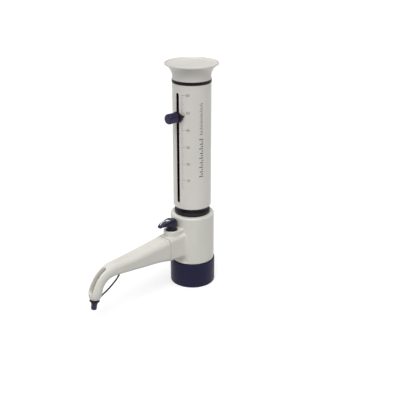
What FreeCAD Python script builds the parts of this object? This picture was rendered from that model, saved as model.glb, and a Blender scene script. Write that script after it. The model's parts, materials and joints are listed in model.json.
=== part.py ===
"""Bottle-top piston dispenser: a parametric assembly of turned, moulded and lofted pieces.

Millimetres. +Z is up along the piston, the discharge arm points along -Y, and the origin is
the centre of the collar's open mouth, on the plane that the collar stands on.
"""
import FreeCAD
import Part
import Sketcher
import math
import os
from FreeCAD import Placement, Rotation, Vector

SIZES = {
    # threaded collar and the gap of every running fit
    "collar_radius": 26.8,
    "collar_height": 30.6,
    "collar_roof": 22.6,
    "collar_round": 1.4,
    "collar_top_round": 0.7,
    "thread_radius": 22.75,
    "thread_depth": 15.5,
    "relief_radius": 22.2,
    "running_gap": 0.05,
    # valve block, its gasket, nipple and inlet valve
    "block_bottom": 17.8,
    "block_flange_radius": 21.7,
    "block_flange_top": 22.2,
    "block_neck_radius": 17.0,
    "block_foot_bottom": 31.4,
    "block_foot_top": 34.0,
    "block_foot_radius": 23.9,
    "block_radius": 19.0,
    "block_top": 86.0,
    "recess_radius": 9.0,
    "recess_top": 27.0,
    "channel_radius": 2.0,
    "gasket_inner": 14.0,
    "gasket_outer": 21.0,
    "gasket_bottom": 16.0,
    "nipple_bottom": 16.2,
    "nipple_radius": 3.0,
    "nipple_bore": 1.5,
    "nipple_thread": 3.5,
    "nipple_flange": 4.6,
    "nipple_flange_thick": 3.0,
    "seat_radius": 5.0,
    "seat_bottom": 34.0,
    "seat_face": 37.0,
    "seat_top": 43.0,
    "seat_bore": 1.5,
    "ball_radius": 2.5,
    "ball_seating": 2.02,
    "chamber_radius": 3.3,
    # housing with its stub and lever platform
    "housing_radius": 25.7,
    "housing_bottom": 31.0,
    "housing_top": 90.0,
    "housing_wall": 1.7,
    "housing_round": 2.2,
    "lip_radius": 25.9,
    "lip_top": 33.4,
    "stub_root": 14.0,
    "stub_end": 45.4,
    "stub_round": 6.0,
    "stub_root_half": 14.8,
    "stub_root_low": 40.2,
    "stub_root_high": 71.2,
    "stub_end_half": 11.5,
    "stub_end_low": 41.7,
    "stub_end_high": 69.3,
    "stub_wall": 2.2,
    "platform_radius": 9.5,
    "platform_low": 56.7,
    "platform_top": 76.6,
    # measuring cylinder, guide tube and neck
    "glass_bore": 12.65,
    "glass_radius": 14.65,
    "socket_floor": 82.0,
    "glass_bottom": 82.8,
    "glass_top": 238.0,
    "guide_radius": 19.9,
    "guide_bore": 17.6,
    "guide_top": 239.4,
    "guide_slot_width": 2.6,
    "guide_slot_low": 104.0,
    "guide_slot_high": 236.0,
    "neck_ring_radius": 20.9,
    "neck_ring_top": 94.6,
    "neck_ring_round": 0.4,
    # lifting sleeve with its slot, bush and band
    "sleeve_radius": 22.1,
    "sleeve_bore": 20.7,
    "sleeve_bottom": 99.3,
    "sleeve_top": 246.0,
    "sleeve_round": 1.1,
    "slot_width": 4.2,
    "slot_low": 106.84,
    "slot_high": 236.84,
    "bush_low": 99.7,
    "bush_top": 104.0,
    "band_radius": 22.4,
    "band_bore": 20.65,
    # top cap
    "cap_bottom": 249.6,
    "cap_waist": 22.0,
    "cap_flare_start": 252.2,
    "cap_flare": 15.9,
    "cap_rim": 30.5,
    "cap_rim_low": 266.1,
    "cap_top": 267.7,
    "cap_lip_inner": 29.5,
    "cap_dish_radius": 28.3,
    "cap_dish": 265.7,
    "cap_spigot": 20.6,
    "cap_spigot_bore": 18.4,
    "cap_spigot_low": 241.2,
    "cap_boss": 11.0,
    "cap_ceiling": 262.4,
    # piston
    "rod_radius": 9.0,
    "head_bottom": 83.4,
    "head_top": 100.0,
    "head_radius": 12.3,
    "groove_low": 88.0,
    "groove_high": 92.0,
    "groove_radius": 10.5,
    "stud_radius": 4.0,
    "stud_low": 230.0,
    "stud_high": 256.0,
    # volume setting
    "setting_height": 209.65,
    "key_half_length": 5.4,
    "key_width": 3.7,
    "key_inner": 20.0,
    "plate_inner": 22.4,
    "plate_outer": 24.5,
    "plate_radius": 6.3,
    "pointer_reach": 10.4,
    "pointer_rise": 3.5,
    "stem_radius": 1.2,
    "stem_inner": 15.2,
    "stem_outer": 33.0,
    "knob_radius": 5.9,
    "knob_inner": 24.8,
    "knob_outer": 38.0,
    "knob_round": 2.2,
    "nut_inner": 15.0,
    "nut_outer": 17.35,
    "nut_half": 4.6,
    # stopcock in the stub, with the outlet valve
    "cock_height": 58.0,
    "cock_radius": 7.4,
    "cock_inner": 19.2,
    "cock_outer": 44.0,
    "cock_bore": 1.5,
    "outlet_offset": 24.0,
    "feed_height": 52.6,
    "outlet_face": 55.0,
    "outlet_chamber_top": 61.3,
    "plug_radius": 3.8,
    "plug_top": 65.2,
    "plug_socket": 1.5,
    "plug_socket_depth": 2.0,
    "lever_offset": 33.8,
    "boss_radius": 6.6,
    "boss_top": 70.6,
    "spindle_radius": 3.95,
    "spindle_low": 50.4,
    "spindle_high": 83.0,
    "seal_low": 63.2,
    "seal_high": 67.0,
    "seal_height": 1.4,
    "seal_root": 3.2,
    "seal_radius": 3.97,
    "spindle_hole_low": 50.2,
    "gland_hole": 6.8,
    "gland_radius": 6.5,
    "gland_top": 76.0,
    "hub_radius": 6.8,
    "hub_low": 77.0,
    "hub_high": 89.2,
    "hub_round": 2.6,
    "lever_reach": 20.6,
    "lever_root_half": 5.6,
    "lever_tip_half": 3.0,
    "lever_low": 84.0,
    "lever_high": 87.8,
    # discharge arm, its tube, the nozzle and the stopper
    "bend_out": 122.6,
    "bend_up": 31.2,
    "bend_radius": 26.2,
    "tip_heading": 80.0,
    "tip_run": 6.2,
    "arm_wall": 1.9,
    "tube_radius": 2.2,
    "tube_bore": 1.5,
    "tube_way": 3.2,
    "groove_width": 6.0,
    "groove_from": 16.0,
    "groove_to": 78.0,
    "way_start": 114.6,
    "nozzle_radius": 2.6,
    "nozzle_root": 6.0,
    "nozzle_length": 9.6,
    "ring_radius": 5.6,
    "ring_low": 0.5,
    "ring_thick": 2.0,
    "stopper_radius": 3.7,
    "stopper_length": 12.0,
    "stopper_round": 1.0,
    "stopper_low": 1.0,
    "stopper_bore_depth": 10.0,
    # tether
    "tether_radius": 0.9,
    "anchor_radius": 1.7,
    "anchor_length": 4.4,
    "anchor_mouth": 1.8,
}

# How far a cutting tool runs past the face that it opens.
PAST = 1.0
# The most that a section's corner may take of its smaller half size.
FULLEST_CORNER = 0.97
# Corner radii of the arm's sections, as shares of the smaller half size: along the level part, where
# the bend starts, and from where the sections are round, at that many degrees.
LEVEL_CORNER = 0.62
BEND_CORNER = 0.7
TIP_CORNER = 0.97
ROUND_FROM = 45.0
# The pointer's beak, as shares of its disc's radius: across and up, and where its point comes.
BEAK_CORNERS = [(0.2, 0.9), (0.2, -0.95), (0.78, -0.78), (1.17, -0.3), (1.08, 0.46), (0.66, 0.64)]
BEAK_POINT = 4

# Stations of the arm from its seam to the bend: distance out, centre height, half width, half height.
ARM_STATIONS = [
    (45.6, 55.5, 11.5, 13.8),
    (58.0, 56.3, 11.4, 12.0),
    (83.4, 56.5, 10.8, 9.1),
    (101.0, 56.8, 9.9, 7.7),
]
# Sections round the bend: degrees turned, half width, half height.
BEND_SECTIONS = [
    (0.0, 8.7, 7.3),
    (10.0, 8.1, 7.2),
    (20.0, 7.6, 7.1),
    (32.0, 7.3, 7.0),
    (44.0, 7.1, 7.0),
    (56.0, 7.0, 7.0),
    (68.0, 7.0, 7.0),
    (80.0, 7.0, 6.9),
]
# Sections of the blunt tip past the bend: share of the tip's run, half width, half height.
TIP_SECTIONS = [(0.62, 6.7, 6.6), (1.0, 5.1, 5.1)]
# Route of the tether in the arm's plane: distance out, height.
TETHER_ROUTE = [
    (112.6, 49.6),
    (115.6, 44.6),
    (122.0, 39.8),
    (131.0, 34.2),
    (139.3, 30.8),
    (143.6, 28.2),
]

document = FreeCAD.newDocument("dispenser")
sheet = document.addObject("Spreadsheet::Sheet", "sizes")
for row, (alias, value) in enumerate(SIZES.items(), start=1):
    sheet.set(f"A{row}", str(value))
    sheet.setAlias(f"A{row}", alias)
document.recompute()


class Length:
    """A length with both its value and the sheet expression that gives it."""

    def __init__(self, value, text):
        self.value = value
        self.text = text

    def __add__(self, other):
        other = as_length(other)
        return Length(self.value + other.value, f"({self.text} + {other.text})")

    def __sub__(self, other):
        other = as_length(other)
        return Length(self.value - other.value, f"({self.text} - {other.text})")

    def __neg__(self):
        return Length(-self.value, f"(0 - {self.text})")

    def __truediv__(self, divisor):
        return Length(self.value / divisor, f"({self.text} / {divisor})")

    def __mul__(self, factor):
        return Length(self.value * factor, f"({self.text} * {factor})")


def as_length(number):
    return number if isinstance(number, Length) else Length(float(number), str(number))


def cell(alias):
    """The named size, as a length bound to its cell."""
    return Length(float(sheet.get(alias)), "sizes." + alias)


def size(alias):
    """The named size, as a plain number."""
    return float(sheet.get(alias))


def bind(thing, path, length):
    thing.setExpression(path, as_length(length).text)


def place(thing, x=0, y=0, z=0, rotation=None):
    """Puts a piece at bound coordinates, with a fixed rotation."""
    if rotation:
        thing.Placement = Placement(Vector(0, 0, 0), rotation)
    for path, length in (("x", x), ("y", y), ("z", z)):
        if isinstance(length, Length):
            bind(thing, "Placement.Base." + path, length)


def cylinder(label, radius, height, x=0, y=0, z=0, rotation=None):
    made = document.addObject("Part::Cylinder", label)
    bind(made, "Radius", radius)
    bind(made, "Height", height)
    place(made, x, y, z, rotation)
    return made


def box(label, length, width, height, x=0, y=0, z=0):
    made = document.addObject("Part::Box", label)
    bind(made, "Length", length)
    bind(made, "Width", width)
    bind(made, "Height", height)
    place(made, x, y, z)
    return made


def fused(label, *pieces):
    made = document.addObject("Part::MultiFuse", label)
    made.Shapes = list(pieces)
    return made


def common(label, first, second):
    made = document.addObject("Part::Common", label)
    made.Base = first
    made.Tool = second
    return made


def cut(label, base, *tools):
    made = document.addObject("Part::Cut", label)
    made.Base = base
    made.Tool = tools[0] if len(tools) == 1 else fused(label + "_tools", *tools)
    return made


def arc_centre(start, end, radius, side):
    """Centre of the arc from start to end, to the left of the chord where side is 1."""
    chord = end - start
    rise = math.sqrt(radius ** 2 - (chord.Length / 2) ** 2)
    normal = Vector(-chord.y, chord.x, 0).normalize()
    return (start + end) / 2 + normal * rise * side


def arc_edge(start, end, radius, side):
    """The short arc from start to end as sketch geometry, and whether it runs that way round."""
    centre = arc_centre(start, end, radius, side)
    angles = [math.atan2(point.y - centre.y, point.x - centre.x) for point in (start, end)]
    forward = side > 0
    first, last = angles if forward else reversed(angles)
    return Part.ArcOfCircle(Part.Circle(centre, Vector(0, 0, 1), radius), first, last), forward


def outline(sketch, corners):
    """Closes a profile through corners of (across, up), or (across, up, radius, side) where an arc
    leads to the next corner. Every corner's place, and every arc's radius, is bound to the sheet."""
    points = [Vector(as_length(c[0]).value, as_length(c[1]).value, 0) for c in corners]
    ends = []
    for number, corner in enumerate(corners):
        following = points[(number + 1) % len(points)]
        if len(corner) == 4:
            edge, forward = arc_edge(points[number], following, corner[2].value, corner[3])
            sketch.addGeometry(edge, False)
            ends.append((1, 2) if forward else (2, 1))
        else:
            sketch.addGeometry(Part.LineSegment(points[number], following), False)
            ends.append((1, 2))
    for number in range(len(corners)):
        after = (number + 1) % len(corners)
        link = Sketcher.Constraint("Coincident", number, ends[number][1], after, ends[after][0])
        sketch.addConstraint(link)
    for number, corner in enumerate(corners):
        for kind, length in (("DistanceX", corner[0]), ("DistanceY", corner[1])):
            length = as_length(length)
            place_of = Sketcher.Constraint(kind, -1, 1, number, ends[number][0], length.value)
            index = sketch.addConstraint(place_of)
            sketch.setExpression(f"Constraints[{index}]", length.text)
        if len(corner) == 4:
            bend = Sketcher.Constraint("Radius", number, corner[2].value)
            index = sketch.addConstraint(bend)
            sketch.setExpression(f"Constraints[{index}]", corner[2].text)


def origin_plane(body, role):
    return next(feature for feature in body.Origin.OriginFeatures if feature.Role == role)


def turned(label, corners, rounds=()):
    """A body turned about its own Z axis. rounds are (radius, edge's radius, edge's height)."""
    body = document.addObject("PartDesign::Body", label)
    profile = body.newObject("Sketcher::SketchObject", label + "_profile")
    profile.AttachmentSupport = [(origin_plane(body, "XZ_Plane"), "")]
    profile.MapMode = "FlatFace"
    outline(profile, corners)
    turn = body.newObject("PartDesign::Revolution", label + "_turn")
    turn.Profile = profile
    turn.ReferenceAxis = (profile, ["V_Axis"])
    turn.Angle = 360
    document.recompute()
    latest = turn
    for number, (radius, edge_radius, edge_height) in enumerate(rounds):
        names = [
            f"Edge{place_in_shape + 1}"
            for place_in_shape, edge in enumerate(latest.Shape.Edges)
            if isinstance(edge.Curve, Part.Circle)
            and abs(edge.Curve.Radius - edge_radius.value) < 1e-4
            and abs(edge.Curve.Center.z - as_length(edge_height).value) < 1e-4
        ]
        blend = body.newObject("PartDesign::Fillet", f"{label}_round_{number + 1}")
        blend.Base = (latest, names)
        bind(blend, "Radius", radius)
        document.recompute()
        latest = blend
    return body


def tube_profile(inner, outer, low, high):
    return [(inner, low), (outer, low), (outer, high), (inner, high)]


def made_by_code(label, shape):
    """A piece whose shape neither a body nor a primitive gives, built from the sheet's sizes."""
    made = document.addObject("Part::Feature", label)
    made.Shape = shape
    made.Placement = Placement()
    return made


TOWARDS_ARM = Rotation(Vector(1, 0, 0), 90)  # turns a piece's own +Z to -Y


def out(distance, height, aside=0.0):
    """A point at that distance out along the arm."""
    return Vector(aside, -distance, height)


# --- bottle side ---------------------------------------------------------------------------

def threaded_collar():
    neck = cell("block_neck_radius") + cell("running_gap")
    corners = [
        (cell("thread_radius"), 0),
        (cell("collar_radius"), 0),
        (cell("collar_radius"), cell("collar_height")),
        (neck, cell("collar_height")),
        (neck, cell("collar_roof")),
        (cell("relief_radius"), cell("collar_roof")),
        (cell("relief_radius"), cell("thread_depth")),
        (cell("thread_radius"), cell("thread_depth")),
    ]
    rounds = [
        (cell("collar_round"), cell("collar_radius"), 0),
        (cell("collar_top_round"), cell("collar_radius"), cell("collar_height")),
    ]
    return turned("threaded_collar", corners, rounds)


def valve_block():
    blank = turned("valve_block_blank", [
        (0, cell("recess_top")),
        (cell("recess_radius"), cell("recess_top")),
        (cell("recess_radius"), cell("block_bottom")),
        (cell("block_flange_radius"), cell("block_bottom")),
        (cell("block_flange_radius"), cell("block_flange_top")),
        (cell("block_neck_radius"), cell("block_flange_top")),
        (cell("block_neck_radius"), cell("block_foot_bottom")),
        (cell("block_foot_radius"), cell("block_foot_bottom")),
        (cell("block_foot_radius"), cell("block_foot_top")),
        (cell("block_radius"), cell("block_foot_top")),
        (cell("block_radius"), cell("block_top")),
        (0, cell("block_top")),
    ])
    gap = cell("running_gap")
    nipple_depth = cell("seat_bottom") - cell("recess_top")
    nipple_hole = cylinder("nipple_hole", cell("nipple_thread") + gap, nipple_depth, z=cell("recess_top"))
    seat_hole = cylinder("seat_hole", cell("seat_radius") + gap, cell("seat_top") - cell("seat_bottom"),
                         z=cell("seat_bottom"))
    riser_height = cell("block_top") - cell("seat_top")
    riser = cylinder("riser", cell("channel_radius"), riser_height, z=cell("seat_top"))
    socket = cylinder("glass_socket", cell("glass_radius") + gap, cell("block_top") - cell("socket_floor"),
                      z=cell("socket_floor"))
    feed = cylinder("feed", cell("cock_bore"), cell("block_radius") + PAST, z=cell("feed_height"),
                    rotation=TOWARDS_ARM)
    return cut("valve_block", blank, nipple_hole, seat_hole, riser, socket, feed)


def intake_nipple():
    flange_low = cell("recess_top") - cell("nipple_flange_thick")
    return turned("intake_nipple", [
        (cell("nipple_bore"), cell("nipple_bottom")),
        (cell("nipple_radius"), cell("nipple_bottom")),
        (cell("nipple_radius"), flange_low),
        (cell("nipple_flange"), flange_low),
        (cell("nipple_flange"), cell("recess_top")),
        (cell("nipple_thread"), cell("recess_top")),
        (cell("nipple_thread"), cell("seat_bottom")),
        (cell("nipple_bore"), cell("seat_bottom")),
    ])


def inlet_valve_seat():
    return turned("inlet_valve_seat", [
        (cell("seat_bore"), cell("seat_bottom")),
        (cell("seat_radius"), cell("seat_bottom")),
        (cell("seat_radius"), cell("seat_top")),
        (cell("chamber_radius"), cell("seat_top")),
        (cell("chamber_radius"), cell("seat_face")),
        (cell("seat_bore"), cell("seat_face")),
    ])


def ball(label, seat_face, offset=0):
    made = document.addObject("Part::Sphere", label)
    bind(made, "Radius", cell("ball_radius"))
    place(made, y=offset, z=seat_face + cell("ball_seating"))
    return made


def bottle_gasket():
    return turned("bottle_gasket", tube_profile(
        cell("gasket_inner"), cell("gasket_outer"), cell("gasket_bottom"), cell("block_bottom")))


# --- housing -------------------------------------------------------------------------------

def rounded_section(across, up, radius, to_space):
    """A closed rectangle with round corners, half sizes across and up, laid into space."""
    radius = min(radius, FULLEST_CORNER * across, FULLEST_CORNER * up)
    edges = []
    for turn in range(4):
        quarter = math.radians(90 * turn)
        wide, high = (across, up) if turn % 2 == 0 else (up, across)
        local = [
            (wide, -(high - radius)),
            (wide, high - radius),
            (wide - radius * (1 - math.cos(math.pi / 4)), high - radius * (1 - math.sin(math.pi / 4))),
            (wide - radius, high),
        ]
        turned_points = [
            (x * math.cos(quarter) - y * math.sin(quarter), x * math.sin(quarter) + y * math.cos(quarter))
            for x, y in local
        ]
        low, straight_end, middle, arc_end = [to_space(x, y) for x, y in turned_points]
        edges.append(Part.LineSegment(low, straight_end).toShape())
        edges.append(Part.Arc(straight_end, middle, arc_end).toShape())
    return Part.Wire(edges)


def circles_at(shape, height):
    return [
        edge for edge in shape.Edges
        if isinstance(edge.Curve, Part.Circle) and abs(edge.Curve.Center.z - height) < 1e-6
    ]


def upright_section(distance, low, high, half, radius):
    """A rounded section that faces along the arm at that distance out."""
    middle = (low + high) / 2
    return rounded_section(half, (high - low) / 2, radius, lambda x, y: out(distance, middle + y, x))


def stub_shape(inset, end):
    """The stub's outside, or its hollow where inset is the wall."""
    wires = [
        upright_section(size("stub_root"), size("stub_root_low") + inset, size("stub_root_high") - inset,
                        size("stub_root_half") - inset, size("stub_round") - inset / 2),
        upright_section(end, size("stub_end_low") + inset, size("stub_end_high") - inset,
                        size("stub_end_half") - inset, size("stub_round") - inset / 2),
    ]
    return Part.makeLoft(wires, True, True)


def valve_housing():
    low, high = size("housing_bottom"), size("housing_top")
    drum = Part.makeCylinder(size("housing_radius"), high - low, Vector(0, 0, low))
    rim = circles_at(drum, high)
    drum = drum.makeFillet(size("housing_round"), rim)
    lip = Part.makeCylinder(size("lip_radius"), size("lip_top") - low, Vector(0, 0, low))
    offset, radius = size("lever_offset"), size("platform_radius")
    platform_low = size("platform_low")
    platform_height = size("platform_top") - platform_low
    pad = Part.makeCylinder(radius, platform_height, out(offset, platform_low))
    bridge = Part.makeBox(2 * radius, offset, platform_height, out(offset, platform_low, -radius))
    outer = drum.fuse([lip, stub_shape(0.0, size("stub_end")), pad, bridge])
    wall = size("housing_wall")
    inner_radius = size("housing_radius") - wall
    cavity = Part.makeCylinder(inner_radius, high - wall - low + PAST, Vector(0, 0, low - PAST))
    mouth_radius = size("guide_radius") + size("running_gap")
    mouth = Part.makeCylinder(mouth_radius, 2 * wall, Vector(0, 0, high - wall - PAST))
    hollow = stub_shape(size("stub_wall"), size("stub_end") + PAST)
    gland = Part.makeCylinder(size("gland_hole"), platform_height + PAST, out(offset, platform_low))
    return made_by_code("valve_housing", outer.cut([cavity, mouth, hollow, gland]).removeSplitter())


# --- measuring cylinder and neck -----------------------------------------------------------

def glass_cylinder():
    return turned("glass_cylinder", tube_profile(
        cell("glass_bore"), cell("glass_radius"), cell("glass_bottom"), cell("glass_top")))


def cylinder_gasket():
    return turned("cylinder_gasket", tube_profile(
        cell("glass_bore"), cell("glass_radius"), cell("socket_floor"), cell("glass_bottom")))


def slot_tool(label, width, low, high, from_y, to_y):
    """A round-ended slot through a wall, from distance from_y to to_y out along the arm."""
    depth = to_y - from_y
    half = width / 2
    middle = box(label + "_middle", width, depth, high - low - width, x=-half, y=-to_y, z=low + half)
    ends = [
        cylinder(f"{label}_end_{number}", half, depth, y=-from_y, z=height, rotation=TOWARDS_ARM)
        for number, height in enumerate((low + half, high - half))
    ]
    return fused(label, middle, *ends)


def guide_tube():
    blank = turned("guide_tube_blank", tube_profile(
        cell("guide_bore"), cell("guide_radius"), cell("block_top"), cell("guide_top")))
    slot = slot_tool("guide_slot", cell("guide_slot_width"), cell("guide_slot_low"),
                     cell("guide_slot_high"), cell("glass_bore"), cell("guide_radius") + PAST)
    return cut("guide_tube", blank, slot)


def neck_ring():
    corners = tube_profile(cell("guide_radius") + cell("running_gap"), cell("neck_ring_radius"),
                           cell("housing_top"), cell("neck_ring_top"))
    rounds = [(cell("neck_ring_round"), cell("neck_ring_radius"), cell("neck_ring_top"))]
    return turned("neck_ring", corners, rounds)


# --- sleeve, top cap and piston ------------------------------------------------------------

def sleeve():
    blank = turned("sleeve_blank", tube_profile(
        cell("sleeve_bore"), cell("sleeve_radius"), cell("sleeve_bottom"), cell("sleeve_top")),
        [(cell("sleeve_round"), cell("sleeve_radius"), cell("sleeve_bottom"))])
    slot = slot_tool("sleeve_slot", cell("slot_width"), cell("slot_low"), cell("slot_high"),
                     cell("guide_bore"), cell("sleeve_radius") + PAST)
    return cut("sleeve", blank, slot)


def guide_bush():
    return turned("guide_bush", tube_profile(
        cell("guide_radius") + cell("running_gap"), cell("sleeve_bore"),
        cell("bush_low"), cell("bush_top")))


def top_band():
    return turned("top_band", tube_profile(
        cell("band_bore"), cell("band_radius"), cell("sleeve_top"), cell("cap_bottom")))


def top_cap():
    return turned("top_cap", [
        (cell("cap_spigot_bore"), cell("cap_spigot_low")),
        (cell("cap_spigot"), cell("cap_spigot_low")),
        (cell("cap_spigot"), cell("cap_bottom")),
        (cell("cap_waist"), cell("cap_bottom")),
        (cell("cap_waist"), cell("cap_flare_start"), cell("cap_flare"), -1),
        (cell("cap_rim"), cell("cap_rim_low")),
        (cell("cap_rim"), cell("cap_top")),
        (cell("cap_lip_inner"), cell("cap_top")),
        (cell("cap_dish_radius"), cell("cap_dish")),
        (0, cell("cap_dish")),
        (0, cell("stud_high")),
        (cell("stud_radius"), cell("stud_high")),
        (cell("stud_radius"), cell("cap_spigot_low")),
        (cell("cap_boss"), cell("cap_spigot_low")),
        (cell("cap_boss"), cell("cap_ceiling")),
        (cell("cap_spigot_bore"), cell("cap_ceiling")),
    ])


def piston_rod():
    return turned("piston_rod", [
        (0, cell("head_top")),
        (cell("rod_radius"), cell("head_top")),
        (cell("rod_radius"), cell("cap_spigot_low")),
        (cell("stud_radius"), cell("cap_spigot_low")),
        (cell("stud_radius"), cell("stud_low")),
        (0, cell("stud_low")),
    ])


def piston_head():
    return turned("piston_head", [
        (0, cell("head_bottom")),
        (cell("head_radius"), cell("head_bottom")),
        (cell("head_radius"), cell("groove_low")),
        (cell("groove_radius"), cell("groove_low")),
        (cell("groove_radius"), cell("groove_high")),
        (cell("head_radius"), cell("groove_high")),
        (cell("head_radius"), cell("head_top")),
        (0, cell("head_top")),
    ])


def piston_seal():
    return turned("piston_seal", tube_profile(
        cell("groove_radius"), cell("glass_bore") - cell("running_gap"),
        cell("groove_low"), cell("groove_high")))


def piston_stud():
    return cylinder("piston_stud", cell("stud_radius"), cell("stud_high") - cell("stud_low"),
                    z=cell("stud_low"))


# --- volume setting ------------------------------------------------------------------------

def stem_hole(label):
    return cylinder(label, cell("stem_radius") + cell("running_gap"), cell("knob_outer"),
                    z=cell("setting_height"), rotation=TOWARDS_ARM)


def volume_pointer():
    """A plate that hugs the sleeve, pointed towards the scale, with a key that rides in the slot."""
    height = cell("setting_height")
    shell = turned("pointer_shell", tube_profile(
        cell("plate_inner"), cell("plate_outer"), height - cell("plate_radius") - PAST,
        height + cell("plate_radius") + PAST))
    disc = cylinder("pointer_disc", cell("plate_radius"), cell("plate_outer"), z=height,
                    rotation=TOWARDS_ARM)
    beak = document.addObject("PartDesign::Body", "pointer_beak")
    face = beak.newObject("Sketcher::SketchObject", "pointer_beak_face")
    face.AttachmentSupport = [(origin_plane(beak, "XZ_Plane"), "")]
    face.MapMode = "FlatFace"
    radius = cell("plate_radius")
    corners = [(radius * across, height + radius * up) for across, up in BEAK_CORNERS]
    corners.insert(BEAK_POINT, (cell("pointer_reach"), height + cell("pointer_rise")))
    outline(face, corners)
    pad = beak.newObject("PartDesign::Pad", "pointer_beak_pad")
    pad.Profile = face
    pad.Type = "Length"
    bind(pad, "Length", cell("plate_outer") * 2)
    pad.Midplane = True
    outlined = fused("pointer_outline", disc, beak)
    reach = cell("plate_outer")
    front_half = box("pointer_front", reach * 2, reach, cell("plate_radius") * 4, x=-reach, y=-reach,
                     z=height - cell("plate_radius") * 2)
    plate = common("pointer_plate", common("pointer_band", shell, outlined), front_half)
    key = slot_tool("pointer_key", cell("key_width"), height - cell("key_half_length"),
                    height + cell("key_half_length"), cell("key_inner"), cell("plate_inner") + PAST)
    return cut("volume_pointer", fused("pointer_blank", plate, key), stem_hole("pointer_stem_hole"))


def clamp_nut():
    half, height = cell("nut_half"), cell("setting_height")
    outer = cell("nut_outer")
    shell = turned("nut_shell", tube_profile(cell("nut_inner"), outer, height - half, height + half))
    window = box("nut_window", half * 2, outer, half * 2, x=-half, y=-outer, z=height - half)
    return cut("clamp_nut", common("nut_blank", shell, window), stem_hole("nut_stem_hole"))


def knob_stem():
    return cylinder("knob_stem", cell("stem_radius"), cell("stem_outer") - cell("stem_inner"),
                    y=-cell("stem_inner"), z=cell("setting_height"), rotation=TOWARDS_ARM)


def volume_knob():
    length = cell("knob_outer") - cell("knob_inner")
    bore_end = cell("stem_outer") - cell("knob_inner")
    body = turned("volume_knob", [
        (cell("stem_radius"), 0),
        (cell("knob_radius"), 0),
        (cell("knob_radius"), length),
        (0, length),
        (0, bore_end),
        (cell("stem_radius"), bore_end),
    ], [(cell("knob_round"), cell("knob_radius"), length)])
    place(body, y=-cell("knob_inner"), z=cell("setting_height"), rotation=TOWARDS_ARM)
    return body


# --- stopcock and outlet valve -------------------------------------------------------------

def stopcock_body():
    gap, axis_height = cell("running_gap"), cell("cock_height")
    offset, valve_offset = -cell("lever_offset"), -cell("outlet_offset")
    barrel = cylinder("cock_barrel", cell("cock_radius"), cell("cock_outer") - cell("cock_inner"),
                      y=-cell("cock_inner"), z=axis_height, rotation=TOWARDS_ARM)
    boss_height = cell("boss_top") - axis_height
    boss = cylinder("cock_boss", cell("boss_radius"), boss_height, y=offset, z=axis_height)
    through = cylinder("cock_through", cell("cock_bore"), cell("cock_outer") - cell("outlet_offset") + PAST,
                       y=valve_offset, z=axis_height, rotation=TOWARDS_ARM)
    feed = cylinder("cock_feed", cell("cock_bore"), cell("outlet_offset") - cell("cock_inner") + PAST,
                    y=-cell("cock_inner") + PAST, z=cell("feed_height"), rotation=TOWARDS_ARM)
    rise = cylinder("cock_rise", cell("seat_bore"), cell("outlet_face") - cell("feed_height"),
                    y=valve_offset, z=cell("feed_height"))
    chamber = cylinder("cock_chamber", cell("chamber_radius"), cell("cock_radius"),
                       y=valve_offset, z=cell("outlet_face"))
    plug_hole = cylinder("cock_plug_hole", cell("plug_radius") + gap, cell("cock_radius"),
                         y=valve_offset, z=cell("outlet_chamber_top"))
    spindle_hole = cylinder("cock_spindle_hole", cell("spindle_radius") + gap,
                            cell("boss_top") - cell("spindle_hole_low") + PAST, y=offset,
                            z=cell("spindle_hole_low"))
    blank = fused("cock_blank", barrel, boss)
    return cut("stopcock_body", blank, through, feed, rise, chamber, plug_hole, spindle_hole)


def outlet_plug():
    """A headless screw with a hexagon socket."""
    offset = -cell("outlet_offset")
    blank = cylinder("plug_blank", cell("plug_radius"), cell("plug_top") - cell("outlet_chamber_top"),
                     y=offset, z=cell("outlet_chamber_top"))
    socket = document.addObject("Part::Prism", "plug_socket_tool")
    socket.Polygon = 6
    bind(socket, "Circumradius", cell("plug_socket"))
    bind(socket, "Height", cell("plug_socket_depth"))
    place(socket, y=offset, z=cell("plug_top") - cell("plug_socket_depth"))
    return cut("outlet_plug", blank, socket)


def gland_nut():
    body = turned("gland_nut", tube_profile(
        cell("spindle_radius") + cell("running_gap"), cell("gland_radius"),
        cell("boss_top"), cell("gland_top")))
    place(body, y=-cell("lever_offset"))
    return body


def valve_spindle():
    blank = turned("spindle_blank", [
        (0, cell("spindle_low")),
        (cell("spindle_radius"), cell("spindle_low")),
        (cell("spindle_radius"), cell("seal_low")),
        (cell("seal_root"), cell("seal_low")),
        (cell("seal_root"), cell("seal_low") + cell("seal_height")),
        (cell("spindle_radius"), cell("seal_low") + cell("seal_height")),
        (cell("spindle_radius"), cell("seal_high")),
        (cell("seal_root"), cell("seal_high")),
        (cell("seal_root"), cell("seal_high") + cell("seal_height")),
        (cell("spindle_radius"), cell("seal_high") + cell("seal_height")),
        (cell("spindle_radius"), cell("spindle_high")),
        (0, cell("spindle_high")),
    ])
    place(blank, y=-cell("lever_offset"))
    way = cylinder("spindle_way", cell("cock_bore"), cell("lever_offset"), y=-cell("lever_offset") / 2,
                   z=cell("cock_height"), rotation=TOWARDS_ARM)
    return cut("valve_spindle", blank, way)


def spindle_seals():
    rings = []
    for name in ("seal_low", "seal_high"):
        ring = turned(name + "_ring", tube_profile(
            cell("seal_root"), cell("seal_radius"), cell(name), cell(name) + cell("seal_height")))
        place(ring, y=-cell("lever_offset"))
        rings.append(ring)
    pair = document.addObject("Part::Compound", "spindle_seals")
    pair.Links = rings
    return pair


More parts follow.
